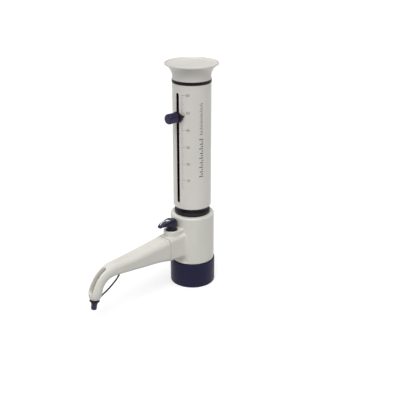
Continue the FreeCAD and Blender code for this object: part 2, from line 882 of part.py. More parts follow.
def valve_lever():
    """A round hub with a flat blade that narrows to a round tip above the arm."""
    offset = size("lever_offset")
    radius, low, high = size("hub_radius"), size("hub_low"), size("hub_high")
    hub = Part.makeCylinder(radius, high - low, out(offset, low))
    rim = circles_at(hub, high)
    hub = hub.makeFillet(size("hub_round"), rim)
    blade_low, blade_high = size("lever_low"), size("lever_high")
    tip = offset + size("lever_reach") - size("lever_tip_half")
    root_half, tip_half = size("lever_root_half"), size("lever_tip_half")
    corners = [
        out(offset, blade_low, -root_half),
        out(tip, blade_low, -tip_half),
        out(tip, blade_low, tip_half),
        out(offset, blade_low, root_half),
    ]
    face = Part.Face(Part.makePolygon(corners + corners[:1]))
    blade = face.extrude(Vector(0, 0, blade_high - blade_low))
    nose = Part.makeCylinder(tip_half, blade_high - blade_low, out(tip, blade_low))
    bore = Part.makeCylinder(size("spindle_radius"), size("spindle_high") - low, out(offset, low))
    shape = hub.fuse([blade, nose]).removeSplitter().cut(bore)
    return made_by_code("valve_lever", shape)


# --- discharge arm -------------------------------------------------------------------------

def bend_point(degrees, radius=None):
    """A point round the bend, at the centreline or at another radius."""
    radius = size("bend_radius") if radius is None else radius
    angle = math.radians(degrees)
    return out(size("bend_out") + radius * math.sin(angle), size("bend_up") + radius * math.cos(angle))


def heading(degrees):
    """The direction of travel along the arm, turned down by that many degrees."""
    angle = math.radians(degrees)
    return Vector(0, -math.cos(angle), -math.sin(angle))


def section_across(point, degrees, half_width, half_height, corner):
    """A rounded section across the arm at a point, facing along its heading."""
    up = Vector(0, -math.sin(math.radians(degrees)), math.cos(math.radians(degrees)))
    return rounded_section(half_width, half_height, corner,
                           lambda x, y: point + Vector(x, 0, 0) + up * y)


def arm_sections(inset):
    """The arm's sections from its seam to its tip, or those of its hollow up to the bend."""
    wires = []
    for distance, height, half_width, half_height in ARM_STATIONS:
        corner = LEVEL_CORNER * min(half_width, half_height)
        wires.append(section_across(out(distance, height), 0.0, half_width - inset,
                                    half_height - inset, corner))
    bends = BEND_SECTIONS[:1] if inset else BEND_SECTIONS
    for turned_by, half_width, half_height in bends:
        share = BEND_CORNER + (TIP_CORNER - BEND_CORNER) * min(turned_by / ROUND_FROM, 1.0)
        corner = share * min(half_width, half_height)
        wires.append(section_across(bend_point(turned_by), turned_by, half_width - inset,
                                    half_height - inset, corner))
    if not inset:
        last = size("tip_heading")
        for share, half_width, half_height in TIP_SECTIONS:
            point = bend_point(last) + heading(last) * size("tip_run") * share
            wires.append(section_across(point, last, half_width, half_height, min(half_width, half_height)))
    return wires


def arm_tip():
    last = size("tip_heading")
    return bend_point(last) + heading(last) * size("tip_run")


def arm_path(start, run_past_tip):
    """The line that the tube follows: level, round the bend, then straight down the tip."""
    last = size("tip_heading")
    edges = [
        Part.LineSegment(start, bend_point(0.0)).toShape(),
        Part.Arc(bend_point(0.0), bend_point(last / 2), bend_point(last)).toShape(),
        Part.LineSegment(bend_point(last), arm_tip() + heading(last) * run_past_tip).toShape(),
    ]
    return Part.Wire(edges)


def swept_round(path, radius):
    """A round bar along a path whose first edge starts straight."""
    start = path.Edges[0].valueAt(path.Edges[0].FirstParameter)
    direction = path.Edges[0].tangentAt(path.Edges[0].FirstParameter)
    ring = Part.Wire([Part.makeCircle(radius, start, direction)])
    return path.makePipeShell([ring], True, True)


def sector(inner, outer, half_width, from_degrees, to_degrees):
    """A block that follows the bend between two radii."""
    corners = [
        bend_point(from_degrees, inner) + Vector(-half_width, 0, 0),
        bend_point(from_degrees, outer) + Vector(-half_width, 0, 0),
        bend_point(from_degrees, outer) + Vector(half_width, 0, 0),
        bend_point(from_degrees, inner) + Vector(half_width, 0, 0),
    ]
    face = Part.Face(Part.makePolygon(corners + corners[:1]))
    return face.revolve(out(size("bend_out"), size("bend_up")), Vector(1, 0, 0), to_degrees - from_degrees)


def discharge_arm():
    outer = Part.makeLoft(arm_sections(0.0), True, True)
    hollow = Part.makeLoft(arm_sections(size("arm_wall")), True, True)
    way = swept_round(arm_path(out(size("way_start"), bend_point(0.0).z), 2 * PAST), size("tube_way"))
    radius = size("bend_radius")
    groove = sector(radius, 2 * radius, size("groove_width") / 2, size("groove_from"), size("groove_to"))
    anchor_hole = anchor_shape(size("anchor_mouth"))
    return made_by_code("discharge_arm", outer.cut([hollow, way, groove, anchor_hole]).removeSplitter())


def discharge_tube():
    start = out(size("cock_outer"), size("cock_height"))
    root = -size("nozzle_root")
    path = arm_path(start, root)
    tube = swept_round(path, size("tube_radius")).cut(swept_round(path, size("tube_bore")))
    return made_by_code("discharge_tube", tube)


def along_tip(body, distance):
    """Stands a turned piece on the tip's axis, that far past the arm's end."""
    body.Placement = Placement(arm_tip() + heading(size("tip_heading")) * distance,
                               Rotation(Vector(1, 0, 0), 90 + size("tip_heading")))
    return body


def nozzle_tip():
    body = turned("nozzle_tip", [
        (cell("tube_bore"), 0),
        (cell("tube_way"), 0),
        (cell("tube_way"), cell("nozzle_root")),
        (cell("nozzle_radius"), cell("nozzle_root")),
        (cell("nozzle_radius"), cell("nozzle_root") + cell("nozzle_length")),
        (cell("tube_bore"), cell("nozzle_root") + cell("nozzle_length")),
    ])
    return along_tip(body, -size("nozzle_root"))


def closure_cap():
    bore = cell("nozzle_radius") + cell("running_gap")
    low = cell("stopper_low")
    body = turned("closure_cap", [
        (bore, low),
        (cell("stopper_radius"), low),
        (cell("stopper_radius"), cell("stopper_length")),
        (0, cell("stopper_length")),
        (0, cell("stopper_bore_depth")),
        (bore, cell("stopper_bore_depth")),
    ], [(cell("stopper_round"), cell("stopper_radius"), cell("stopper_length"))])
    return along_tip(body, 0.0)


def cap_ring():
    low = cell("ring_low")
    high = low + cell("ring_thick")
    body = turned("cap_ring", tube_profile(cell("stopper_radius"), cell("ring_radius"), low, high))
    return along_tip(body, 0.0)


# --- tether --------------------------------------------------------------------------------

def rounded_route(points):
    """Straight runs joined by tangent arcs, each arc as large as its shorter run allows."""
    edges = []
    start = points[0]
    for before, corner, after in zip(points, points[1:], points[2:]):
        back, ahead = (before - corner), (after - corner)
        turn = math.pi - back.getAngle(ahead)
        trim = 0.45 * min(back.Length, ahead.Length)
        print(f"tether arc radius {trim / math.tan(turn / 2):.1f} mm")
        enter = corner + back.normalize() * trim
        leave = corner + ahead.normalize() * trim
        bisector = (back + ahead).normalize()
        radius = trim / math.tan(turn / 2)
        middle = corner + bisector * (math.sqrt(radius ** 2 + trim ** 2) - radius)
        edges.append(Part.LineSegment(start, enter).toShape())
        edges.append(Part.Arc(enter, middle, leave).toShape())
        start = leave
    edges.append(Part.LineSegment(start, points[-1]).toShape())
    return Part.Wire(edges)


def tether():
    path = rounded_route([out(distance, height) for distance, height in TETHER_ROUTE])
    cord = swept_round(path, size("tether_radius"))
    expected = math.pi * size("tether_radius") ** 2 * path.Length
    print(f"tether length {path.Length:.1f} mm, volume {cord.Volume:.2f} of {expected:.2f} mm3")
    return made_by_code("tether", cord)


def anchor_shape(mouth=0.0):
    """The plug that ends the tether in the underside of the arm, in line with its first run. The
    hole that holds it is open for a mouth's depth more, where the tether comes out."""
    first, second = [out(distance, height) for distance, height in TETHER_ROUTE[:2]]
    direction = (second - first).normalize()
    length = size("anchor_length")
    return Part.makeCylinder(size("anchor_radius"), length + mouth, first - direction * length, direction)


def tether_anchor():
    return made_by_code("tether_anchor", anchor_shape())


# --- the assembly --------------------------------------------------------------------------

def assemble():
    return [
        threaded_collar(), valve_block(), intake_nipple(), bottle_gasket(), inlet_valve_seat(),
        ball("inlet_ball", cell("seat_face")), valve_housing(), glass_cylinder(), cylinder_gasket(),
        guide_tube(), neck_ring(), sleeve(), guide_bush(), top_band(), top_cap(), piston_rod(),
        piston_head(), piston_seal(), piston_stud(), volume_pointer(), clamp_nut(), knob_stem(),
        volume_knob(), stopcock_body(), ball("outlet_ball", cell("outlet_face"), -cell("outlet_offset")),
        outlet_plug(), gland_nut(), valve_spindle(), spindle_seals(), valve_lever(), discharge_arm(),
        discharge_tube(), nozzle_tip(), closure_cap(), cap_ring(), tether(), tether_anchor(),
    ]


def check(pieces):
    document.recompute()
    failed = [thing.Label for thing in document.Objects if {"Invalid", "Error"} & set(thing.State)]
    bad = [piece.Label for piece in pieces if piece.Shape.isNull() or not piece.Shape.isValid()]
    if failed or bad:
        raise RuntimeError(f"failed objects {failed}, bad shapes {bad}")


nodes = assemble()
check(nodes)
os.makedirs("parts", exist_ok=True)
for node in nodes:
    node.Shape.exportStep(f"parts/{node.Label}.step")
    print(f"{node.Label}: {len(node.Shape.Solids)} solid, {node.Shape.Volume:.1f} mm3")
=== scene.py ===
"""The looks of the bottle-top piston dispenser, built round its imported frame.

The modelling functions work in millimetres in the row frame, with +Z up and the arm along -Y.
Turned pieces are lathed from outlines with rounded corners. Moulded pieces are distance fields,
which blend their shapes with true fillets, and are turned into smooth quad meshes.
"""
import json
import math

import bmesh
import bpy
import numpy as np
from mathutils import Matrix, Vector


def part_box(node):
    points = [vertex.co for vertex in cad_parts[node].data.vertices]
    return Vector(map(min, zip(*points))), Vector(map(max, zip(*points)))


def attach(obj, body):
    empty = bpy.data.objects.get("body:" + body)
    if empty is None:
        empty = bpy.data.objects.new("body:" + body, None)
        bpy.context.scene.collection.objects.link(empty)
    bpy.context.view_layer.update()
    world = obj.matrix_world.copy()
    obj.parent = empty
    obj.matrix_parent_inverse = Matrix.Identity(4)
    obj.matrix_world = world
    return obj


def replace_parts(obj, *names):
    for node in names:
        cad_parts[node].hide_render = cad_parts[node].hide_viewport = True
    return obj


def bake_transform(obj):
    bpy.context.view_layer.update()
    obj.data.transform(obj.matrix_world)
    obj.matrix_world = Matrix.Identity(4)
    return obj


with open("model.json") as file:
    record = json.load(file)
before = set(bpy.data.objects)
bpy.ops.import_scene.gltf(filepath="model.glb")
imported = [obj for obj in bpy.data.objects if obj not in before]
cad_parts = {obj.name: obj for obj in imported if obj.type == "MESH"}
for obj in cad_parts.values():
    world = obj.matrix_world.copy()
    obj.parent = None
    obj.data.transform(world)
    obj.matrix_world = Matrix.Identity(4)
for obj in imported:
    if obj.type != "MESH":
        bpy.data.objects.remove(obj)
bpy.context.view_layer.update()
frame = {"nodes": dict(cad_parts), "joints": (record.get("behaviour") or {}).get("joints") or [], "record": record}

MM = 0.001


def box_mm(node):
    """A CAD node's lowest and highest corners, in millimetres."""
    low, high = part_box(node)
    return np.array(low) / MM, np.array(high) / MM


def joint(name):
    return next(j for j in frame["joints"] if j["name"] == name)


# --- sizes, from the frame ----------------------------------------------------------------

DRUM_RADIUS = box_mm("valve_housing")[1][0] - 0.2
DRUM_LOW, DRUM_HIGH = box_mm("valve_housing")[0][2], box_mm("valve_housing")[1][2]
STUB_END = -box_mm("valve_housing")[0][1]
SEAM = -box_mm("discharge_arm")[1][1]
GUIDE_RADIUS = box_mm("guide_tube")[1][0]
SLEEVE_RADIUS = box_mm("sleeve")[1][0]
CAP_LOW, CAP_HIGH = box_mm("top_band")[1][2], box_mm("top_cap")[1][2]
CAP_RADIUS = box_mm("top_cap")[1][0]
LEVER_OUT = joint("lever_turn")["pos_m"][1] / -MM
HUB_LOW = box_mm("valve_lever")[0][2]
LEVER_HIGH = box_mm("valve_lever")[1][2]
LEVER_TIP = -box_mm("valve_lever")[0][1]
SETTING_HEIGHT = joint("volume_knob_turn")["pos_m"][2] / MM
PULL = Vector(joint("stopper_pull")["axis"])

# --- camera -------------------------------------------------------------------------------

CAMERA_AT = Vector((0.5810, -0.5680, 0.4347))
CAMERA_LOOKS_AT = Vector((0.0047, 0.0083, 0.1025))
CAMERA_LENS = 66.6


def add_camera():
    camera = bpy.data.objects.new("camera", bpy.data.cameras.new("camera"))
    bpy.context.scene.collection.objects.link(camera)
    camera.data.lens = CAMERA_LENS
    camera.data.sensor_width = 36
    camera.location = CAMERA_AT
    camera.rotation_euler = (CAMERA_LOOKS_AT - CAMERA_AT).to_track_quat("-Z", "Y").to_euler()
    bpy.context.scene.camera = camera


add_camera()


# --- materials ----------------------------------------------------------------------------

def linear(red, green, blue):
    """An sRGB colour out of 255 as the linear one that a shader takes."""
    shares = [channel / 255 for channel in (red, green, blue)]
    return [s / 12.92 if s <= 0.04045 else ((s + 0.055) / 1.055) ** 2.4 for s in shares] + [1.0]


class Shader:
    """A node material with short ways to add and link nodes."""

    def __init__(self, name):
        self.material = bpy.data.materials.new(name)
        self.material.use_nodes = True
        self.tree = self.material.node_tree
        self.main = self.tree.nodes["Principled BSDF"]
        self.place = self.add("ShaderNodeTexCoord").outputs["Object"]

    def add(self, kind, **inputs):
        node = self.tree.nodes.new(kind)
        for name, value in inputs.items():
            self.put(value, node.inputs[name.replace("_", " ")])
        return node

    def put(self, value, socket):
        if isinstance(value, bpy.types.NodeSocket):
            self.tree.links.new(value, socket)
        else:
            socket.default_value = value

    def noise(self, size, detail=3.0, stretch=(1, 1, 1)):
        """Noise whose features are about size metres across."""
        mapping = self.add("ShaderNodeMapping", Vector=self.place, Scale=stretch)
        noise = self.add("ShaderNodeTexNoise", Vector=mapping.outputs[0], Scale=1 / size, Detail=detail)
        return noise.outputs["Fac"]

    def ramp(self, value, low, high, to_low, to_high):
        node = self.add("ShaderNodeMapRange", Value=value)
        for name, number in zip(("From Min", "From Max", "To Min", "To Max"), (low, high, to_low, to_high)):
            node.inputs[name].default_value = number
        return node.outputs[0]

    def mix(self, share, first, second):
        node = self.tree.nodes.new("ShaderNodeMix")
        node.data_type = "RGBA"
        self.put(share, node.inputs[0])
        self.put(first, node.inputs[6])
        self.put(second, node.inputs[7])
        return node.outputs[2]

    def line_inside(self, radius):
        """Paints everything nearer to the Z axis than that radius, in metres, near-black: painted shade."""
        flat = self.add("ShaderNodeMapping", Vector=self.place, Scale=(1, 1, 0)).outputs[0]
        distance = self.add("ShaderNodeVectorMath")
        distance.operation = "LENGTH"
        self.put(flat, distance.inputs[0])
        share = self.ramp(distance.outputs["Value"], radius - 0.0001, radius, 1.0, 0.0)
        outside = self.main.inputs["Base Color"].links[0].from_socket
        # The near-black mixed in here is painted shade.
        self.put(self.mix(share, outside, linear(22, 19, 23)), self.main.inputs["Base Color"])

    def bump(self, height, depth, normal=None):
        """Bump of that depth in metres, on top of another if one is given."""
        node = self.add("ShaderNodeBump", Height=height, Distance=depth, Strength=1.0)
        if normal is not None:
            self.put(normal, node.inputs["Normal"])
        return node.outputs[0]


def moulded_plastic(name, colour, shade, roughness, grain=0.00035, coat=0.0, gloss_level=0.5,
                    inside=None):
    """Injection-moulded plastic: soft flow marks in the colour, spark-eroded grain in gloss and bump."""
    made = Shader(name)
    flow = made.noise(0.03, 2.0, (1, 1, 0.4))
    dust = made.noise(0.004, 5.0)
    toned = made.mix(made.ramp(flow, 0.35, 0.65, 0.0, 1.0), colour, shade)
    made.put(made.mix(made.ramp(dust, 0.5, 0.8, 0.0, 0.10), toned, shade), made.main.inputs["Base Color"])
    fine = made.noise(grain, 2.0)
    gloss = made.ramp(dust, 0.3, 0.7, roughness - 0.05, roughness + 0.07)
    made.put(gloss, made.main.inputs["Roughness"])
    made.put(made.bump(fine, grain * 0.045), made.main.inputs["Normal"])
    made.main.inputs["Specular IOR Level"].default_value = gloss_level
    made.main.inputs["Coat Weight"].default_value = coat
    made.main.inputs["Coat Roughness"].default_value = 0.18
    # A radius given as inside paints the plastic near-black within it: painted shade.
    if inside:
        made.line_inside(inside)
    return made.material


def rubber(name, colour, shade):
    made = Shader(name)
    bloom = made.noise(0.006, 4.0)
    made.put(made.mix(made.ramp(bloom, 0.4, 0.7, 0.0, 1.0), colour, shade), made.main.inputs["Base Color"])
    made.put(made.ramp(bloom, 0.3, 0.7, 0.48, 0.68), made.main.inputs["Roughness"])
    made.put(made.bump(made.noise(0.0003, 2.0), 0.00002), made.main.inputs["Normal"])
    made.main.inputs["Specular IOR Level"].default_value = 0.25
    return made.material


def fluoropolymer(name, colour, shade):
    """Waxy white, with faint turning marks."""
    made = Shader(name)
    cloud = made.noise(0.012, 3.0)
    made.put(made.mix(made.ramp(cloud, 0.3, 0.7, 0.0, 1.0), colour, shade), made.main.inputs["Base Color"])
    made.put(made.ramp(made.noise(0.003, 4.0), 0.3, 0.7, 0.26, 0.4), made.main.inputs["Roughness"])
    marks = made.noise(0.0004, 1.0, (0.05, 0.05, 1))
    made.put(made.bump(marks, 0.000012), made.main.inputs["Normal"])
    return made.material


def turned_steel(name):
    made = Shader(name)
    rings = made.noise(0.0003, 2.0, (0.1, 1, 1))
    made.put(made.mix(rings, linear(168, 170, 172), linear(205, 206, 208)), made.main.inputs["Base Color"])
    made.put(made.ramp(rings, 0.3, 0.7, 0.22, 0.36), made.main.inputs["Roughness"])
    made.put(made.bump(rings, 0.00001), made.main.inputs["Normal"])
    made.main.inputs["Metallic"].default_value = 1.0
    return made.material


def clear_glass(name):
    made = Shader(name)
    made.put(made.mix(made.noise(0.02), linear(236, 244, 242), linear(226, 238, 236)),
             made.main.inputs["Base Color"])
    made.put(made.ramp(made.noise(0.01), 0.3, 0.7, 0.02, 0.06), made.main.inputs["Roughness"])
    made.main.inputs["Transmission Weight"].default_value = 1.0
    made.main.inputs["IOR"].default_value = 1.47
    return made.material


def printed_ink(name, colour, shade):
    made = Shader(name)
    patchy = made.noise(0.0012, 4.0)
    made.put(made.mix(made.ramp(patchy, 0.4, 0.7, 0.0, 1.0), colour, shade), made.main.inputs["Base Color"])
    made.put(made.ramp(patchy, 0.3, 0.7, 0.42, 0.6), made.main.inputs["Roughness"])
    return made.material


SLEEVE_SKIN = 0.15       # what stays white of the sleeve's wall; the rest is painted near-black as painted shade, on the slot's walls and inside the sleeve

WHITE = moulded_plastic("white_plastic", linear(221, 218, 212), linear(215, 212, 205), 0.36, coat=0.15)
# The sleeve's white plastic, painted near-black inside its wall as painted shade, so the slot's walls look dark.
WHITE_PAINTED_SHADE_INSIDE = moulded_plastic("white_plastic_painted_shade_inside", linear(221, 218, 212), linear(215, 212, 205), 0.36,
                        coat=0.15, inside=(SLEEVE_RADIUS - SLEEVE_SKIN) * MM)
BODY = moulded_plastic("body_plastic", linear(219, 217, 210), linear(213, 211, 203), 0.36)
NAVY = moulded_plastic("navy_plastic", linear(35, 36, 65), linear(30, 31, 58), 0.4, gloss_level=0.14)
INDIGO = moulded_plastic("indigo_plastic", linear(31, 27, 68), linear(25, 23, 58), 0.34, gloss_level=0.35)
GLOSSY = moulded_plastic("glossy_navy_plastic", linear(21, 20, 50), linear(16, 16, 41), 0.24,
                         grain=0.0006, coat=0.12, gloss_level=0.22)
POINTER = moulded_plastic("pointer_plastic", linear(44, 14, 22), linear(32, 11, 18), 0.36, gloss_level=0.35)
BLACK = moulded_plastic("black_plastic", linear(18, 14, 19), linear(13, 10, 14), 0.42, gloss_level=0.18)
# Black plastic painted lighter for the neck ring: painted light on its lit top, below the sleeve's shadow.
BLACK_PAINTED_LIT = moulded_plastic("black_plastic_painted_lit", linear(38, 33, 38), linear(31, 27, 31), 0.46,
                           gloss_level=0.25)
RUBBER = rubber("seal_rubber", linear(9, 9, 15), linear(15, 15, 22))
TEFLON = fluoropolymer("fluoropolymer", linear(232, 231, 226), linear(222, 221, 215))
STEEL = turned_steel("stainless_steel")
GLASS = clear_glass("borosilicate_glass")
INK = printed_ink("grey_ink", linear(118, 116, 116), linear(138, 136, 135))
STRIPE = printed_ink("stripe_ink", linear(84, 83, 87), linear(104, 103, 106))
# White for the lever's arrow: print, and partly a painted highlight on the wing.
WHITE_INK_AND_HIGHLIGHT = printed_ink("white_ink_and_painted_highlight", linear(232, 234, 240), linear(214, 216, 226))

SLOT_FINISH = {
    "white_plastic": WHITE, "body_plastic": BODY, "navy_plastic": NAVY, "pointer_plastic": POINTER,
    "black_plastic": BLACK, "fluoropolymer": TEFLON, "borosilicate_glass": GLASS,
    "seal_rubber": RUBBER, "stainless_steel": STEEL,
}


# --- meshes -------------------------------------------------------------------------------

def new_piece(name, points_mm, faces, material, body, sharp=35, recalculate=True):
    """A piece from points in millimetres, riding on a body."""
    mesh = bpy.data.meshes.new(name)
    mesh.from_pydata([tuple(p) for p in np.asarray(points_mm, float) * MM], [], faces)
    if recalculate:
        work = bmesh.new()
        work.from_mesh(mesh)
        bmesh.ops.recalc_face_normals(work, faces=work.faces)
        work.to_mesh(mesh)
        work.free()
    mesh.polygons.foreach_set("use_smooth", [True] * len(mesh.polygons))
    if sharp:
        mesh.set_sharp_from_angle(angle=math.radians(sharp))
    piece = bpy.data.objects.new(name, mesh)
    bpy.context.scene.collection.objects.link(piece)
    piece.data.materials.append(material)
    if body:
        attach(piece, body)
    return piece


def rounded(corners, steps=5):
    """Points of a closed outline. A corner is (across, up), or (across, up, radius) for a round one."""
    points = []
    for number, corner in enumerate(corners):
        here = np.array(corner[:2], float)
        if len(corner) < 3:
            points.append(here)
            continue
        back = np.array(corners[number - 1][:2], float) - here
        ahead = np.array(corners[(number + 1) % len(corners)][:2], float) - here
        back /= np.linalg.norm(back)
        ahead /= np.linalg.norm(ahead)
        half = math.acos(np.clip(back @ ahead, -1, 1)) / 2
        middle = (back + ahead) / np.linalg.norm(back + ahead)
        centre = here + middle * corner[2] / math.sin(half)
        start = here + back * corner[2] / math.tan(half) - centre
        end = here + ahead * corner[2] / math.tan(half) - centre
        first = math.atan2(start[1], start[0])
        sweep = (math.atan2(end[1], end[0]) - first + math.pi) % (2 * math.pi) - math.pi
        for angle in first + sweep * np.linspace(0, 1, steps + 1):
            points.append(centre + corner[2] * np.array([math.cos(angle), math.sin(angle)]))
    return points


def lathed(name, outline, material, body, start=(0, 0, 0), along=(0, 0, 1), around=144):
    """Turns an outline of (radius, distance) about the line from start along a direction."""
    axis = Vector(along).normalized()
    side = axis.orthogonal().normalized()
    other = axis.cross(side)
    points, rings = [], []
    for radius, distance in outline:
        centre = Vector(start) + axis * float(distance)
        if radius < 1e-6:
            rings.append([len(points)])
            points.append(tuple(centre))
            continue
        rings.append(list(range(len(points), len(points) + around)))
        for angle in np.linspace(0, 2 * math.pi, around, endpoint=False):
            outward = side * math.cos(angle) + other * math.sin(angle)
            points.append(tuple(centre + outward * float(radius)))
    faces = []
    for lower, upper in zip(rings, rings[1:] + rings[:1]):
        if len(lower) == 1 and len(upper) == 1:
            continue
        for k in range(around):
            after = (k + 1) % around
            if len(lower) == 1:
                faces.append((lower[0], upper[after], upper[k]))
            elif len(upper) == 1:
                faces.append((lower[k], lower[after], upper[0]))
            else:
                faces.append((lower[k], lower[after], upper[after], upper[k]))
    return new_piece(name, points, faces, material, body)


# --- distance fields ----------------------------------------------------------------------

def extent(first, second):
    """Distance to the overlap of two shapes, with a true corner outside."""
    return np.minimum(np.maximum(first, second), 0) + np.hypot(np.maximum(first, 0), np.maximum(second, 0))


def rectangle(across, up, half_across, half_up, corner):
    return extent(abs(across) - half_across + corner, abs(up) - half_up + corner) - corner


def join(first, second, fillet):
    """The union of two fields, with a fillet of that radius between them."""
    reach = np.hypot(np.maximum(fillet - first, 0), np.maximum(fillet - second, 0))
    return np.maximum(fillet, np.minimum(first, second)) - reach


def meet(first, second, edge):
    """What two fields share, with the edge between them rounded to that radius."""
    reach = np.hypot(np.maximum(edge + first, 0), np.maximum(edge + second, 0))
    return np.minimum(-edge, np.maximum(first, second)) + reach


def carve(solid, tool, edge):
    return meet(solid, -tool, edge)


def ease(value, start, end):
    """0 before start, 1 after end, and smooth between them."""
    share = np.clip((value - start) / (end - start), 0, 1)
    return share * share * (3 - 2 * share)


def curve_through(stations, values):
    """A smooth curve through stations that keeps each stretch between its two values."""
    at, value = np.array(stations, float), np.array(values, float)
    step, slope = np.diff(at), np.diff(value) / np.diff(at)
    tangent = np.concatenate([[slope[0]], (slope[1:] + slope[:-1]) / 2, [slope[-1]]])
    tangent[1:-1][slope[1:] * slope[:-1] <= 0] = 0

    def curve(place):
        place = np.clip(place, at[0], at[-1])
        index = np.clip(np.searchsorted(at, place) - 1, 0, len(step) - 1)
        share = (place - at[index]) / step[index]
        left, right = value[index], value[index + 1]
        rise = share * share * (3 - 2 * share)
        lead = share * (1 - share) ** 2 * step[index] * tangent[index]
        trail = share ** 2 * (share - 1) * step[index] * tangent[index + 1]
        return left + (right - left) * rise + lead + trail

    return curve


GRID_MARGIN = 1.5        # how far a moulded piece's grid runs past its CAD node
CRISP = 0.1              # edge radius where a shape is only cut off, inside another


def moulded(name, field, low, high, step, material, body):
    """The surface where a field is zero, as a smooth mesh of quads about step across."""
    axes = [np.arange(a, b + step, step) for a, b in zip(low, high)]
    grid = np.stack(np.meshgrid(*axes, indexing="ij"), -1)
    values = field(grid)
    cells = [n - 1 for n in values.shape]
    total = np.zeros(cells + [3])
    count = np.zeros(cells)
    crossings = []
    for axis in range(3):
        first = [slice(None)] * 3
        second = [slice(None)] * 3
        first[axis], second[axis] = slice(0, -1), slice(1, None)
        near, far = values[tuple(first)], values[tuple(second)]
        crossed = (near < 0) != (far < 0)
        share = np.where(crossed, near / np.where(crossed, near - far, 1), 0)
        point = grid[tuple(first)].copy()
        point[..., axis] += share * step
        point *= crossed[..., None]
        b, c = [k for k in range(3) if k != axis]
        for shift_b in (0, 1):
            for shift_c in (0, 1):
                part = [slice(None)] * 3
                part[b] = slice(shift_b, shift_b + cells[b])
                part[c] = slice(shift_c, shift_c + cells[c])
                total += point[tuple(part)]
                count += crossed[tuple(part)]
        crossings.append((crossed, near < 0))
    used = count > 0
    index = np.full(cells, -1)
    index[used] = np.arange(used.sum())
    points = total[used] / count[used][:, None]
    faces = []
    for axis, (crossed, starts_inside) in enumerate(crossings):
        b, c = (axis + 1) % 3, (axis + 2) % 3
        spots = np.argwhere(crossed)
        inner = (spots[:, b] > 0) & (spots[:, c] > 0) & (spots[:, b] < cells[b]) & (spots[:, c] < cells[c])
        spots = spots[inner]
        forward = starts_inside[tuple(spots.T)]
        step_b, step_c = np.eye(3, dtype=int)[b], np.eye(3, dtype=int)[c]
        ring = [spots - step_b - step_c, spots - step_c, spots, spots - step_b]
        quads = np.stack([index[tuple(corner.T)] for corner in ring], 1)
        quads[~forward] = quads[~forward][:, ::-1]
        faces.append(quads)
    points = settled(points, field, step)
    return new_piece(name, points, np.concatenate(faces).tolist(), material, body, sharp=0,
                     recalculate=False)


def settled(points, field, step):
    """Moves points onto the surface along the field's slope."""
    nudge = step * 0.05
    for _ in range(3):
        value = field(points)
        slope = np.stack([
            (field(points + offset) - field(points - offset)) / (2 * nudge)
            for offset in np.eye(3) * nudge
        ], -1)
        size = np.maximum((slope ** 2).sum(-1), 0.3)
        move = slope * (value / size)[:, None]
        length = np.maximum(np.linalg.norm(move, axis=1), 1e-9)
        points = points - move * np.minimum(1, 0.35 * step / length)[:, None]
    return points


def parts_of(points):
    """Distance aside, distance out along the arm, and height."""
    return points[..., 0], -points[..., 1], points[..., 2]


# --- valve housing ------------------------------------------------------------------------

STUB_STATIONS = (12.0, 22.6, 30.0, 38.0, 46.0)
stub_half = curve_through(STUB_STATIONS, (13.6, 12.8, 12.1, 11.7, 11.5))
stub_low = curve_through(STUB_STATIONS, (40.2, 40.2, 40.6, 41.2, 41.7))
stub_high = curve_through(STUB_STATIONS, (71.8, 71.2, 70.6, 70.0, 69.3))
STUB_WALL = 2.2
DRUM_WALL = 1.7
STUB_CORNER = 4.4
PLATFORM_RADIUS = 9.5
PLATFORM_TOP = 76.6
GLAND_HOLE = 6.8
NOTCH_TURN = math.radians(21)
NOTCH_HEIGHT = 34.9
NOTCH_HALF_WIDTH, NOTCH_HALF_HEIGHT, NOTCH_DEPTH = 5.2, 2.6, 0.9
STUB_FROM = 8            # the stub and its platform start inside the drum
PLATFORM_LOW = 60
SHOULDER_ROUND = 2.6
ROOF = 2.4
EDGE_ROUND = 0.4


def stub_section(aside, out, height, inset):
    low, high = stub_low(out) + inset, stub_high(out) - inset
    return rectangle(aside, height - (low + high) / 2, stub_half(out) - inset, (high - low) / 2,
                     STUB_CORNER - inset / 2)


def notch_field(aside, out, height, radial):
    """A shallow oval thumb notch low on the drum, on each side of the stub."""
    turn = np.arctan2(abs(aside), out) - NOTCH_TURN
    across = turn * DRUM_RADIUS / NOTCH_HALF_WIDTH
    up = (height - NOTCH_HEIGHT) / NOTCH_HALF_HEIGHT
    oval = (np.hypot(across, up) - 1) * NOTCH_HALF_HEIGHT
    return meet(oval, DRUM_RADIUS - NOTCH_DEPTH - radial, EDGE_ROUND)


def housing_field(points):
    aside, out, height = parts_of(points)
    radial = np.hypot(aside, out)
    drum = meet(radial - DRUM_RADIUS, height - DRUM_HIGH, SHOULDER_ROUND)
    drum = meet(drum, DRUM_LOW - height, EDGE_ROUND)
    drum = carve(drum, notch_field(aside, out, height, radial), EDGE_ROUND)
    stub = meet(stub_section(aside, out, height, 0), STUB_FROM - out, CRISP)
    plan = np.hypot(aside, np.maximum(out - LEVER_OUT, 0)) - PLATFORM_RADIUS
    platform = meet(plan, height - PLATFORM_TOP, 1.0)
    platform = meet(platform, np.maximum(PLATFORM_LOW - height, STUB_FROM - out), CRISP)
    # The fillet round the stub's root narrows from 3 mm to 1 mm on its way up to the platform.
    side_fillet = 1.0 + 2.0 * (1 - ease(height, 60, 70))
    solid = join(drum, join(stub, platform, 0.8), side_fillet)
    solid = meet(solid, out - STUB_END + 0.25, 0.5)
    cavity = meet(radial - (DRUM_RADIUS - DRUM_WALL), height - (DRUM_HIGH - ROOF), 1.0)
    hollow = meet(stub_section(aside, out, height, STUB_WALL), STUB_FROM - out, CRISP)
    solid = carve(solid, join(cavity, hollow, 1.0), EDGE_ROUND)
    solid = carve(solid, radial - GUIDE_RADIUS - 0.05, EDGE_ROUND)
    gland = meet(np.hypot(aside, out - LEVER_OUT) - GLAND_HOLE, PLATFORM_LOW - height, CRISP)
    return carve(solid, gland, EDGE_ROUND)


